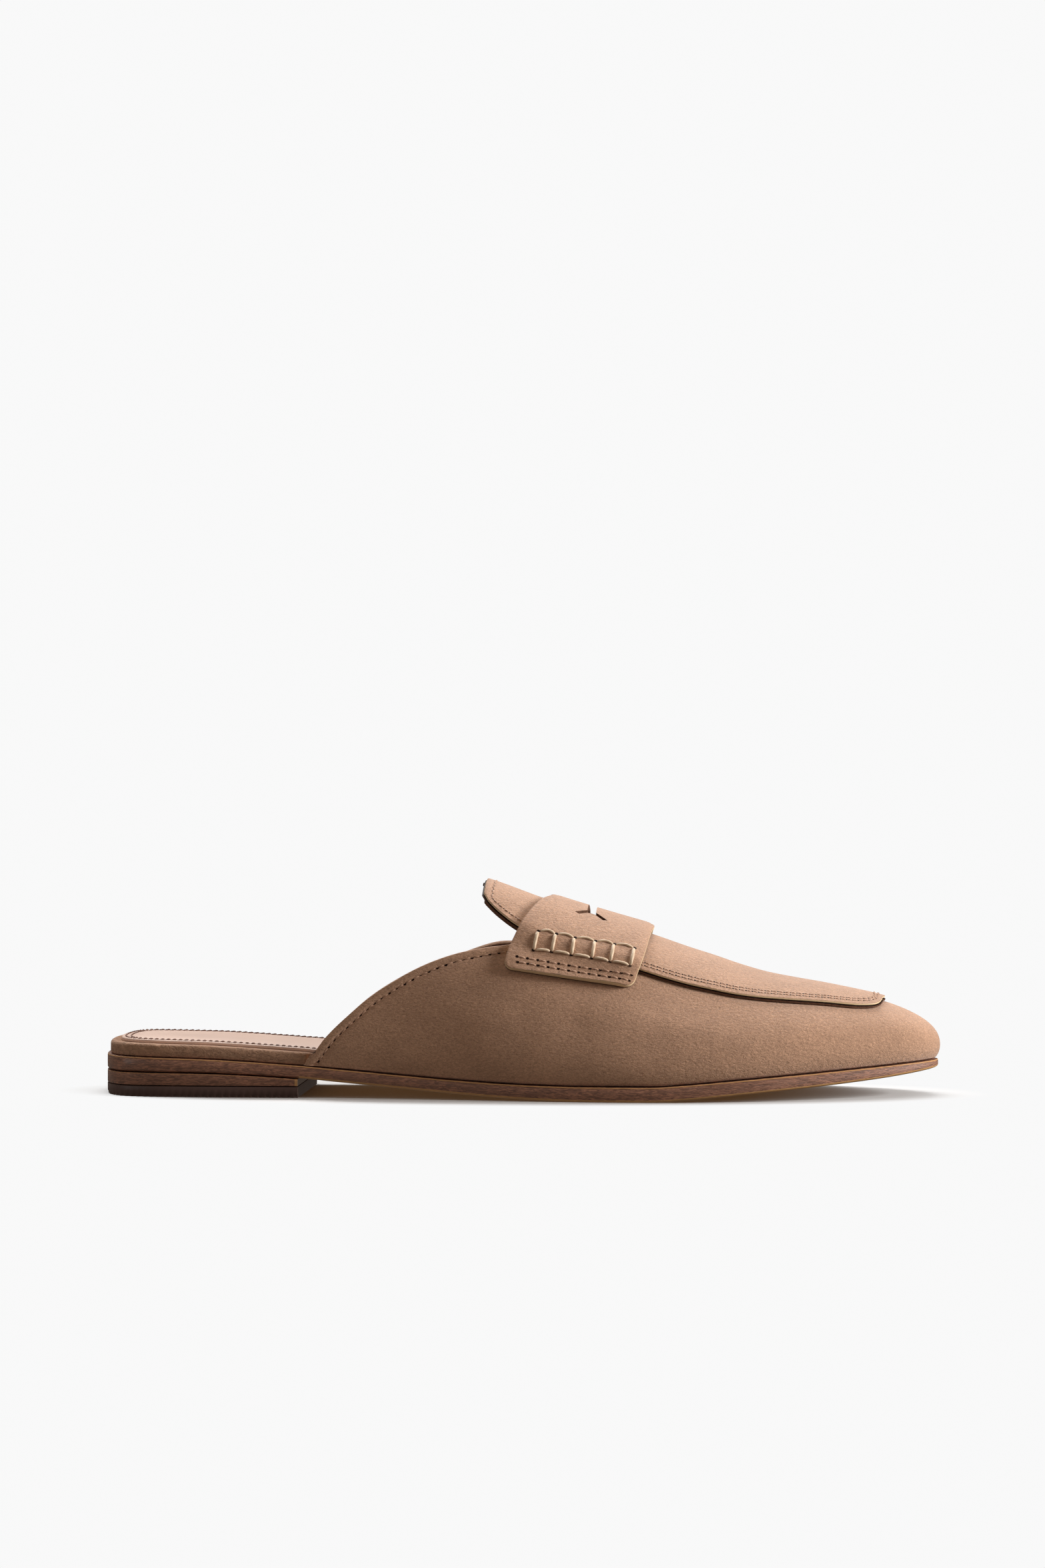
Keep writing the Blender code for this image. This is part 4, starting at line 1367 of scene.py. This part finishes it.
def cut_with(piece, cutter):
    """Cuts a piece with a body and removes the body."""
    cut = piece.modifiers.new("slot", "BOOLEAN")
    cut.operation = "DIFFERENCE"
    cut.solver = "EXACT"
    cut.material_mode = "TRANSFER"
    cut.object = cutter
    graph = bpy.context.evaluated_depsgraph_get()
    mesh = bpy.data.meshes.new_from_object(piece.evaluated_get(graph))
    piece.modifiers.clear()
    old = piece.data
    if len(mesh.polygons) == len(old.polygons):
        raise RuntimeError(piece.name + " was not cut")
    piece.data = mesh
    mesh.name = piece.name
    bpy.data.meshes.remove(old)
    body = cutter.data
    bpy.data.objects.remove(cutter)
    bpy.data.meshes.remove(body)


# Shares of the strap's width that roll over at its back and front, and how far they drop
BACK_ROLL = 0.08
BACK_DROP = 0.00040
FRONT_ROLL = 0.12
FRONT_DROP = 0.00095
# Pressed line beside the strap's edges: its place from the middle (0) to the edge (1)
END_LINE = 0.955
SIDE_LINE = 0.925
LINE_DEPTH = 0.00010


class MULE_OT_strap(bpy.types.Operator):
    """Builds the saddle strap with its painted edge and its forked slot"""
    bl_idname = "mule.strap"
    bl_label = "Saddle strap"

    def execute(self, context):
        reach = meridian(0, STRAP_BACK)[1][-1] * (1 - STRAP_END_SHARE)
        turns = np.linspace(0, math.pi / 2, 8)
        edge_rows = 1 - STRAP_CORNER / reach * (1 - np.cos(turns))
        half = np.concatenate([np.linspace(0, edge_rows[-1], 50)[:-1], edge_rows[::-1]])
        across_rows = np.concatenate([-half[:0:-1], half])
        ends = np.sin(np.linspace(0, math.pi / 2, 9))
        along_columns = np.concatenate([BACK_ROLL * (1 - ends[:0:-1]),
                                        np.linspace(BACK_ROLL, 1 - FRONT_ROLL, 36)[:-1],
                                        1 - FRONT_ROLL + FRONT_ROLL * ends])
        points = np.empty((len(along_columns), len(across_rows), 3))
        raised = np.empty(points.shape[:2])
        for j, across in enumerate(across_rows):
            back, front = strap_edges(1 - abs(across))
            short = max(STRAP_CORNER - (1 - abs(across)) * reach, 0.0)
            cut = STRAP_CORNER - math.sqrt(STRAP_CORNER ** 2 - short ** 2)
            for k, along in enumerate(along_columns):
                x = back + cut + (front - back - 2 * cut) * along
                points[k, j] = last_points(x, [across * (1 - STRAP_END_SHARE)])[0]
                raised[k, j] = strap_raise(x, across, along)
        bm = new_sheet(points.shape[0] - 1, points.shape[1] - 1)
        place_grid(bm, points + PLACE)
        rim = (RimRow(0.00, 0.35 * MM, 1), RimRow(0.12, 0.10 * MM, 1), RimRow(0.35, 0.0, 1),
               RimRow(0.72, 0.0, 1), RimRow(0.92, 0.06 * MM, 1), RimRow(1.00, 0.52 * MM, 0))

        def face(k, j):
            end = (abs(across_rows[j]) - END_LINE) / 0.012
            side = abs(along_columns[k] - 0.5) / 0.5
            crease = math.exp(-end * end) * (side < 0.95)
            crease += math.exp(-((side - SIDE_LINE) / 0.018) ** 2)
            front = np.clip((along_columns[k] - 1 + FRONT_ROLL) / FRONT_ROLL, 0.0, 1.0)
            back = np.clip((BACK_ROLL - along_columns[k]) / BACK_ROLL, 0.0, 1.0)
            bend = FRONT_DROP * (1 - math.sqrt(1 - front * front))
            bend += BACK_DROP * (1 - math.sqrt(1 - back * back))
            return raised[k, j] + STRAP_THICKNESS - LINE_DEPTH * crease - bend

        slab(bm, lambda k, j: raised[k, j], face, rim, inner_slot=2)
        strap = finish_piece("saddle_strap_dressed", bm,
                             (suede_material(), edge_paint_material(), raw_edge_material()),
                             ("saddle_strap",), sharp=50)
        cut_with(strap, slot_cutter(raw_edge_material()))
        return {"FINISHED"}


# Threads and holes of one seam, each as a list of rings of points
Sewing = namedtuple("Sewing", "threads holes")
THREAD_SIDES = 6
THREAD_STEPS = 5
CORD_SIDES = 12
CORD_STEPS = 12
CORD_TWIST = 2.5
CORD_FLATNESS = 0.85
END_TAPER = 0.45
PLY_DEPTH = 0.14
HOLE_SIDES = 8
HOLE_LIP = 0.000035
HOLE_DEPTH = 0.00020
STITCH_WANDER = 0.06


def tube(path, radius, sides=THREAD_SIDES, twist=0.0, flat=1.0):
    """Rings of a thread along a path of (place, way out), drawn in at its ends.

    The twist is in turns along the whole path and shows as two plies.
    """
    last = len(path) - 1
    rings = []
    for k, (place, out) in enumerate(path):
        ahead = path[min(k + 1, last)][0] - path[max(k - 1, 0)][0]
        ahead.normalize()
        side = ahead.cross(out).normalized()
        up = side.cross(ahead).normalized()
        taper = END_TAPER if k in (0, last) else 1.0
        ring = []
        for s in range(sides):
            angle = 2 * math.pi * s / sides
            ply = 1.0
            if twist:
                ply -= PLY_DEPTH * (1 - abs(math.cos(angle - math.pi * twist * k / last)))
            reach = radius * taper * ply
            ring.append(place + side * (math.cos(angle) * reach)
                        + up * (math.sin(angle) * reach * flat))
        rings.append(ring)
    return rings


def hole(place, out, forward, radius):
    """Rings of a pricked hole: a small dish let into the surface, down to a point."""
    side = out.cross(forward).normalized()
    rim = []
    for s in range(HOLE_SIDES):
        angle = 2 * math.pi * s / HOLE_SIDES
        rim.append(place + out * HOLE_LIP + forward * (math.cos(angle) * radius)
                   + side * (math.sin(angle) * radius))
    return [rim, [place - out * HOLE_DEPTH] * HOLE_SIDES]


def add_tubes(bm, tubes, slot):
    """Adds closed tubes to a mesh, each given as its rings of points, out of one grid."""
    known = set(bm.faces)
    rings = [ring for one in tubes for ring in one]
    starts = set(np.cumsum([len(one) for one in tubes]).tolist())
    sides = len(rings[0])
    verts = add_sheet(bm, len(rings) - 1, sides)
    column_layer = layer(bm, "column")
    row_layer = layer(bm, "row")
    for vert in verts:
        vert.co = rings[vert[column_layer]][vert[row_layer] % sides]
    bridges = [face for face in bm.faces if face not in known
               and min(vert[column_layer] for vert in face.verts) + 1 in starts]
    bmesh.ops.delete(bm, geom=bridges, context="FACES")
    bmesh.ops.remove_doubles(bm, verts=verts, dist=THREAD_MERGE)
    bmesh.ops.holes_fill(bm, edges=[edge for edge in bm.edges if edge.is_boundary])
    for face in bm.faces:
        if face not in known:
            face.material_index = slot


def sew(name, sewing, thread_finish):
    """Makes one piece of a sewing's threads and holes."""
    bm = bmesh.new()
    add_tubes(bm, sewing.threads, 0)
    # The holes take a near-black material: painted shade in the holes.
    add_tubes(bm, sewing.holes, 1)
    bmesh.ops.recalc_face_normals(bm, faces=bm.faces)
    finish_piece(name, bm, (thread_finish, hole_shade_material()), sharp=60)


def stitches(sewing, route, pitch, thread, radius, slack):
    """Adds a row of stitches along a route of (place, way out), with the holes between them.

    The radius is a hole's, and the slack is how much of the pitch the thread leaves free.
    """
    places = np.array([place[:] for place, out in route])
    outs = np.array([out[:] for place, out in route])
    length = path_lengths(places)
    count = max(int(length[-1] / pitch), 1)
    step = length[-1] / count

    def at(distance):
        place = Vector([np.interp(distance, length, places[:, k]) for k in range(3)])
        out = Vector([np.interp(distance, length, outs[:, k]) for k in range(3)])
        return place, out.normalized()

    for k in range(count):
        start = (k + slack / 2) * step
        end = (k + 1 - slack / 2) * step
        lean = random.uniform(-STITCH_WANDER, STITCH_WANDER) * step
        path = []
        for j in range(THREAD_STEPS + 1):
            share = j / THREAD_STEPS
            place, out = at(start + (end - start) * share)
            ahead = (at(end)[0] - at(start)[0]).normalized()
            aside = out.cross(ahead) * (lean * (share - 0.5))
            rise = thread * (0.55 * math.sin(math.pi * share) - 0.25)
            path.append((place + out * rise + aside, out))
        sewing.threads.append(tube(path, thread / 2))
    for k in range(count + 1):
        place, out = at(min(k * step, length[-1]))
        near = at(min(k * step + 0.1 * step, length[-1]))[0]
        far = at(max(k * step - 0.1 * step, 0.0))[0]
        forward = (near - far).normalized()
        sewing.holes.append(hole(place, out, forward, radius * random.uniform(0.88, 1.1)))


def collar_route(side):
    """Route of the pricked line beside the folded collar."""
    fold = sizes().collar_fold
    x = np.linspace(UPPER_START, 0.520 * SOLE_LENGTH, 400)
    edge = np.array([last_points(at, [side * (1 - float(collar_share(at)))])[0] for at in x])
    length = path_lengths(edge)
    route = []
    for k in range(0, len(x), 3):
        ahead = Vector(edge[min(k + 2, len(x) - 1)] - edge[max(k - 2, 0)]).normalized()
        place, out, forward = last_place(x[k], side * (1 - float(collar_share(x[k]))))
        inward = out.cross(ahead).normalized()
        if inward.z > 0:
            inward = -inward
        spot = place + inward * fold
        if spot.z > outsole_top(x[k]) + 1.5 * MM:
            route.append((spot, out))
    return seat_route(route, "upper_dressed")


TREES = {}


def surface(name):
    """Search tree of a finished piece's surface."""
    if name not in TREES:
        piece = bpy.data.objects[name]
        graph = bpy.context.evaluated_depsgraph_get()
        TREES[name] = BVHTree.FromObject(piece, graph)
    return TREES[name]


def seat_route(route, name):
    """Moves every place of a route onto the face of a finished piece."""
    tree = surface(name)
    seated = []
    for place, out in route:
        hit, normal, index, distance = tree.ray_cast(place + out * (6 * MM), -out, 0.012)
        if hit is not None:
            seated.append((hit, out))
    return seated


def apron_route(inset, first, last):
    """Route beside the apron's edge, from the outer side round the toe to the inner side."""
    places = even_places(first, last, 260)
    route = []
    for side in (-1, 1):
        run = []
        for x in places:
            points, length = meridian(0 if side < 0 else 1, min(float(x), TOE_X))
            share = float(apron_share(x)) + inset / length[-1]
            place, out, forward = last_place(x, side * max(1 - share, 1e-6),
                                             SEAT_GAP + APRON_THICKNESS)
            run.append((place, out))
        route += run if side < 0 else run[::-1]
    return seat_route(route, "apron_dressed")


def tongue_end_route(inset):
    """Route across the tip of the tongue, a way in from its edge."""
    x = TONGUE_TIP + inset
    points, length = meridian(0, x)
    share = float(apron_share(x)) + inset * 0.9 / length[-1]
    route = []
    for girth in np.linspace(-(1 - share), 1 - share, 40):
        place, out, forward = last_place(x, girth, SEAT_GAP + APRON_THICKNESS)
        route.append((place, out))
    return seat_route(route, "apron_dressed")


def sock_route(inset):
    """Route beside the sock's edge, from the outer side round the heel to the inner side."""
    outer, inner = outline(lambda x: insole_margin(x) + inset)
    reach = 0.55 * SOLE_LENGTH
    outer = outer[outer[:, 0] < reach][::-1]
    inner = inner[inner[:, 0] < reach]
    route = []
    for x, y in np.concatenate([outer, inner[1:]])[::3]:
        route.append((Vector(PLACE + (x, y, float(insole_top(x)))), Vector((0, 0, 1))))
    return route


def strap_line(side, low, high, first, last, count=60):
    """Route along the strap's end, from low to high across it."""
    route = []
    for share in np.linspace(0.0, 1.0, count):
        place, out, forward = strap_place(side * (low + (high - low) * share),
                                          first + (last - first) * share)
        route.append((place, out))
    return seat_route(route, "saddle_strap_dressed")


# The laced cord on one side of the strap: places along and across it of each rung's ends
Rung = namedtuple("Rung", "foot_along foot head_along head")
RUNGS = (
    Rung(0.189, 0.812, 0.160, 0.668),
    Rung(0.324, 0.804, 0.297, 0.668),
    Rung(0.475, 0.808, 0.444, 0.671),
    Rung(0.633, 0.812, 0.605, 0.665),
    Rung(0.775, 0.822, 0.753, 0.661),
    Rung(0.930, 0.834, 0.910, 0.664),
)


# Rails between two rungs: how far each end stands off its rung along and across the strap,
# the thickness as a share of the cord's, and how far it bows up towards the ridge
Rail = namedtuple("Rail", "start_along start_across end_along end_across thickness bow")
HEAD_RAIL = Rail(0.020, -0.012, -0.004, -0.006, 0.85, 0.014)
FOOT_RAIL = Rail(0.020, 0.004, -0.014, 0.004, 1.00, 0.0)
RUNG_THICKNESS = 1.2
# Radius of the cord's holes, and how far they stand off a rung's ends along and across
CORD_HOLE = 0.00060
FOOT_HOLE_SHIFT = (0.0, 0.008)
HEAD_HOLE_SHIFT = (0.006, -0.010)


class MULE_OT_lacing(bpy.types.Operator):
    """Laces the thick cord on both sides of the strap"""
    bl_idname = "mule.lacing"
    bl_label = "Lacing"

    def execute(self, context):
        thick = sizes().cord
        sewing = Sewing([], [])
        feet = [(rung.foot_along, rung.foot) for rung in RUNGS]
        heads = [(rung.head_along, rung.head) for rung in RUNGS]
        for side in (-1, 1):
            forward = last_place(STRAP_BACK, 0.3 * side)[2]
            for foot, head in zip(feet, heads):
                self.span(sewing, side, foot, head, thick * RUNG_THICKNESS, 0.0)
            for k in range(len(RUNGS) - 1):
                for ends, rail in ((heads, HEAD_RAIL), (feet, FOOT_RAIL)):
                    start = (ends[k][0] + rail.start_along, ends[k][1] + rail.start_across)
                    end = (ends[k + 1][0] + rail.end_along, ends[k + 1][1] + rail.end_across)
                    self.span(sewing, side, start, end, thick * rail.thickness, rail.bow)
            for foot, head in zip(feet, heads):
                for end, shift in ((foot, FOOT_HOLE_SHIFT), (head, HEAD_HOLE_SHIFT)):
                    place, out = self.seat(side, end[0] + shift[0], end[1] + shift[1])
                    sewing.holes.append(hole(place, out, forward, CORD_HOLE))
        sew("strap_lacing", sewing, cord_material())
        return {"FINISHED"}

    def seat(self, side, along, across):
        """A place on the strap's face, and its way out."""
        place, out, forward = strap_place(side * across, along)
        route = seat_route([(place, out)], "saddle_strap_dressed")
        if not route:
            raise RuntimeError("a hole of the lacing misses the strap")
        return route[0]

    def span(self, sewing, side, start, end, thick, lift):
        """One length of cord between two holes, bowed up towards the ridge."""
        path = []
        for k in range(CORD_STEPS + 1):
            share = k / CORD_STEPS
            along = start[0] + (end[0] - start[0]) * share
            bow = lift * math.sin(math.pi * share)
            across = start[1] + (end[1] - start[1]) * share - bow
            place, out = self.seat(side, along, across)
            rise = thick * (0.62 * math.sin(math.pi * share) ** 0.5 - 0.20)
            path.append((place + out * rise, out))
        sewing.threads.append(tube(path, thick / 2, CORD_SIDES, CORD_TWIST, CORD_FLATNESS))


# Radii of the holes in the strap's and collar's rows, the apron, the tongue and the sock
ROW_HOLE = 0.00050
APRON_HOLE = 0.00030
TONGUE_HOLE = 0.00024
SOCK_HOLE = 0.00026
# The strap's two rows of pinholes: places across at their ends, and where they start along
PinRow = namedtuple("PinRow", "low high start")
PIN_ROWS = (PinRow(0.898, 0.909, 0.085), PinRow(0.942, 0.956, 0.100))
PIN_ROW_END = 0.965
PIN_PITCH = 0.0031
# How far in from the edge the seams of apron and sock run
APRON_INSETS = (0.0020, 0.0034)
SOCK_INSETS = (0.0014, 0.0031)


class MULE_OT_seams(bpy.types.Operator):
    """Sews the fine seams of collar, apron, tongue, strap and sock"""
    bl_idname = "mule.seams"
    bl_label = "Seams"

    def execute(self, context):
        random.seed(7)
        thread = sizes().thread
        pitch = sizes().seam_pitch
        sewing = Sewing([], [])
        for side in (-1, 1):
            stitches(sewing, collar_route(side), sizes().collar_pitch, thread, ROW_HOLE, 0.40)
        for inset in APRON_INSETS:
            route = apron_route(inset, STRAP_BACK + STRAP_WIDTH - 3 * MM, TOE_X)
            stitches(sewing, route, pitch, thread, APRON_HOLE, 0.40)
        tongue = apron_route(2.4 * MM, TONGUE_TIP + 3.0 * MM, STRAP_BACK + 4 * MM)
        half = len(tongue) // 2
        for route in (tongue[:half], tongue[half:], tongue_end_route(2.6 * MM)):
            stitches(sewing, route, 1.25 * pitch, thread, TONGUE_HOLE, 0.30)
        for side in (-1, 1):
            for row in PIN_ROWS:
                route = strap_line(side, row.low, row.high, row.start, PIN_ROW_END)
                stitches(sewing, route, PIN_PITCH, 1.3 * thread, ROW_HOLE, 0.42)
        sew("seams", sewing, thread_material())
        sewing = Sewing([], [])
        for inset in SOCK_INSETS:
            stitches(sewing, sock_route(inset), sizes().sock_pitch, 1.15 * thread, SOCK_HOLE,
                     0.30)
        sew("sock_seams", sewing, sock_thread_material())
        return {"FINISHED"}


# The photograph: its width and height in pixels, and its scale at the middle of the shoe
PHOTO_WIDTH = 1568
PHOTO_HEIGHT = 2352
PIXELS_PER_METRE = 4767.0
HEEL_PIXEL = 160.4
FLOOR_PIXEL = 1638.0
CAMERA_DISTANCE = 1.5
CAMERA_TURN = 3.6
CAMERA_DIP = 0.85
FILM_WIDTH = 24.0
# Brightness of the white that is seen, and of the light that comes off air and floor
WHITE = 0.945
SOFT_LIGHT = 0.20
FLOOR_LIGHT = 0.14
SOFT_COLOUR = (1.0, 0.84, 0.72, 1.0)
# The floor's half width and grey, and where it fades into white around the shoe
FLOOR_REACH = 8.0
FLOOR_GREY = 0.80
FADE_START = 0.118
FADE_END = 0.150
FADE_NARROWING = 2.6
# Soft boxes: where each stands and what it faces, its width and height, and its power
Lamp = namedtuple("Lamp", "name place target wide high watts")
LAMPS = (
    Lamp("key", (1.45, -0.15, 0.50), (0.02, 0.0, 0.03), 0.6, 0.6, 30.0),
    Lamp("top", (-0.13, 0.68, 1.10), (0.0, 0.0, 0.03), 1.0, 0.6, 16.0),
    Lamp("heel", (-1.30, -0.70, 0.40), (-0.10, 0.0, 0.02), 0.5, 0.8, 1.6),
)


class MULE_OT_stage(bpy.types.Operator):
    """Sets the pale floor, the soft lights and the camera at the photo's angle"""
    bl_idname = "mule.stage"
    bl_label = "Stage"

    def execute(self, context):
        self.floor()
        for lamp in LAMPS:
            self.light(lamp)
        self.world()
        self.camera()
        scene = bpy.context.scene
        scene.view_settings.view_transform = "Standard"
        scene.view_settings.look = "None"
        return {"FINISHED"}

    def floor(self):
        """A pale floor that takes the shadow near the shoe and fades into white around it."""
        bm = bmesh.new()
        bmesh.ops.create_grid(bm, x_segments=1, y_segments=1, size=FLOOR_REACH)
        mesh = bpy.data.meshes.new("floor")
        bm.to_mesh(mesh)
        bm.free()
        floor = bpy.data.objects.new("floor", mesh)
        bpy.context.scene.collection.objects.link(floor)
        material = bpy.data.materials.new("pale floor")
        material.use_nodes = True
        tree = material.node_tree
        shader = tree.nodes["Principled BSDF"]
        shader.inputs["Base Color"].default_value = (FLOOR_GREY, FLOOR_GREY, FLOOR_GREY, 1.0)
        shader.inputs["Roughness"].default_value = 0.8
        shader.inputs["Specular IOR Level"].default_value = 0.1
        place = tree.nodes.new("ShaderNodeTexCoord")
        narrow = add_node(tree, "ShaderNodeMapping")
        narrow.inputs["Scale"].default_value = (1.0, FADE_NARROWING, 0.0)
        tree.links.new(place.outputs["Object"], narrow.inputs["Vector"])
        reach = add_node(tree, "ShaderNodeVectorMath", operation="LENGTH")
        tree.links.new(narrow.outputs["Vector"], reach.inputs[0])
        fade = add_node(tree, "ShaderNodeMapRange", interpolation_type="SMOOTHSTEP",
                        From_Min=FADE_START, From_Max=FADE_END)
        tree.links.new(reach.outputs["Value"], fade.inputs["Value"])
        seen = tree.nodes.new("ShaderNodeLightPath")
        white = add_node(tree, "ShaderNodeEmission", Strength=WHITE)
        soft = add_node(tree, "ShaderNodeEmission", Color=SOFT_COLOUR, Strength=FLOOR_LIGHT)
        near = tree.nodes.new("ShaderNodeMixShader")
        tree.links.new(fade.outputs["Result"], near.inputs[0])
        tree.links.new(shader.outputs["BSDF"], near.inputs[1])
        tree.links.new(white.outputs["Emission"], near.inputs[2])
        mix = tree.nodes.new("ShaderNodeMixShader")
        tree.links.new(seen.outputs["Is Camera Ray"], mix.inputs[0])
        tree.links.new(soft.outputs["Emission"], mix.inputs[1])
        tree.links.new(near.outputs["Shader"], mix.inputs[2])
        tree.links.new(mix.outputs["Shader"], tree.nodes["Material Output"].inputs["Surface"])
        mesh.materials.append(material)

    def light(self, lamp):
        """A soft box that faces a point of the shoe."""
        box = bpy.data.lights.new(lamp.name, "AREA")
        box.shape = "RECTANGLE"
        box.size = lamp.wide
        box.size_y = lamp.high
        box.energy = lamp.watts
        item = bpy.data.objects.new(lamp.name, box)
        item.location = lamp.place
        way = Vector(lamp.target) - Vector(lamp.place)
        item.rotation_euler = way.to_track_quat("-Z", "Y").to_euler()
        bpy.context.scene.collection.objects.link(item)

    def world(self):
        """White surroundings, which light the shoe more softly than they look."""
        world = bpy.data.worlds.new("studio")
        world.use_nodes = True
        tree = world.node_tree
        soft = tree.nodes["Background"]
        soft.inputs["Color"].default_value = SOFT_COLOUR
        soft.inputs["Strength"].default_value = SOFT_LIGHT
        white = add_node(tree, "ShaderNodeBackground", Color=(1.0, 1.0, 1.0, 1.0),
                         Strength=WHITE)
        seen = tree.nodes.new("ShaderNodeLightPath")
        mix = tree.nodes.new("ShaderNodeMixShader")
        tree.links.new(seen.outputs["Is Camera Ray"], mix.inputs[0])
        tree.links.new(soft.outputs["Background"], mix.inputs[1])
        tree.links.new(white.outputs["Background"], mix.inputs[2])
        tree.links.new(mix.outputs["Shader"], tree.nodes["World Output"].inputs["Surface"])
        bpy.context.scene.world = world

    def camera(self):
        """A camera whose picture has the photo's scale, turn and height over the floor."""
        lens = bpy.data.cameras.new("camera")
        lens.sensor_fit = "HORIZONTAL"
        lens.sensor_width = FILM_WIDTH
        lens.lens = FILM_WIDTH * CAMERA_DISTANCE * PIXELS_PER_METRE / PHOTO_WIDTH
        lens.clip_start = 0.01
        turn = math.radians(CAMERA_TURN)
        dip = math.radians(CAMERA_DIP)
        middle_x = (PHOTO_WIDTH / 2 - HEEL_PIXEL) / PIXELS_PER_METRE + HEEL_PLACE
        middle_z = (FLOOR_PIXEL - PHOTO_HEIGHT / 2) / PIXELS_PER_METRE
        way = Vector((-math.sin(turn) * math.cos(dip), math.cos(turn) * math.cos(dip),
                      -math.sin(dip)))
        item = bpy.data.objects.new("camera", lens)
        item.location = Vector((middle_x, 0.0, middle_z)) - way * CAMERA_DISTANCE
        item.rotation_euler = way.to_track_quat("-Z", "Y").to_euler()
        bpy.context.scene.collection.objects.link(item)
        bpy.context.scene.camera = item


class MULE_PT_panel(bpy.types.Panel):
    """Lists the pieces of the mule"""
    bl_idname = "MULE_PT_panel"
    bl_label = "Mule"
    bl_space_type = "VIEW_3D"
    bl_region_type = "UI"
    bl_category = "Mule"

    def draw(self, context):
        layout = self.layout
        for operator in OPERATORS:
            layout.operator(operator.bl_idname)
        for group in (context.scene.mule_sizes, context.scene.mule_colours):
            for name in group.__annotations__:
                layout.prop(group, name)


OPERATORS = (MULE_OT_stage, MULE_OT_outsole, MULE_OT_heel, MULE_OT_footbed, MULE_OT_upper,
             MULE_OT_apron, MULE_OT_strap, MULE_OT_lacing, MULE_OT_seams)
CLASSES = (MULE_PG_sizes, MULE_PG_colours) + OPERATORS + (MULE_PT_panel,)


def register():
    """Makes the classes known and gives the scene its sizes and colours."""
    for item in CLASSES:
        bpy.utils.register_class(item)
    bpy.types.Scene.mule_sizes = bpy.props.PointerProperty(type=MULE_PG_sizes)
    bpy.types.Scene.mule_colours = bpy.props.PointerProperty(type=MULE_PG_colours)


def unregister():
    """Takes back what register did."""
    del bpy.types.Scene.mule_colours
    del bpy.types.Scene.mule_sizes
    for item in reversed(CLASSES):
        bpy.utils.unregister_class(item)


def main():
    """Builds every piece in order."""
    register()
    for operator in OPERATORS:
        group, name = operator.bl_idname.split(".")
        getattr(getattr(bpy.ops, group), name)()


if __name__ == "__main__":
    main()
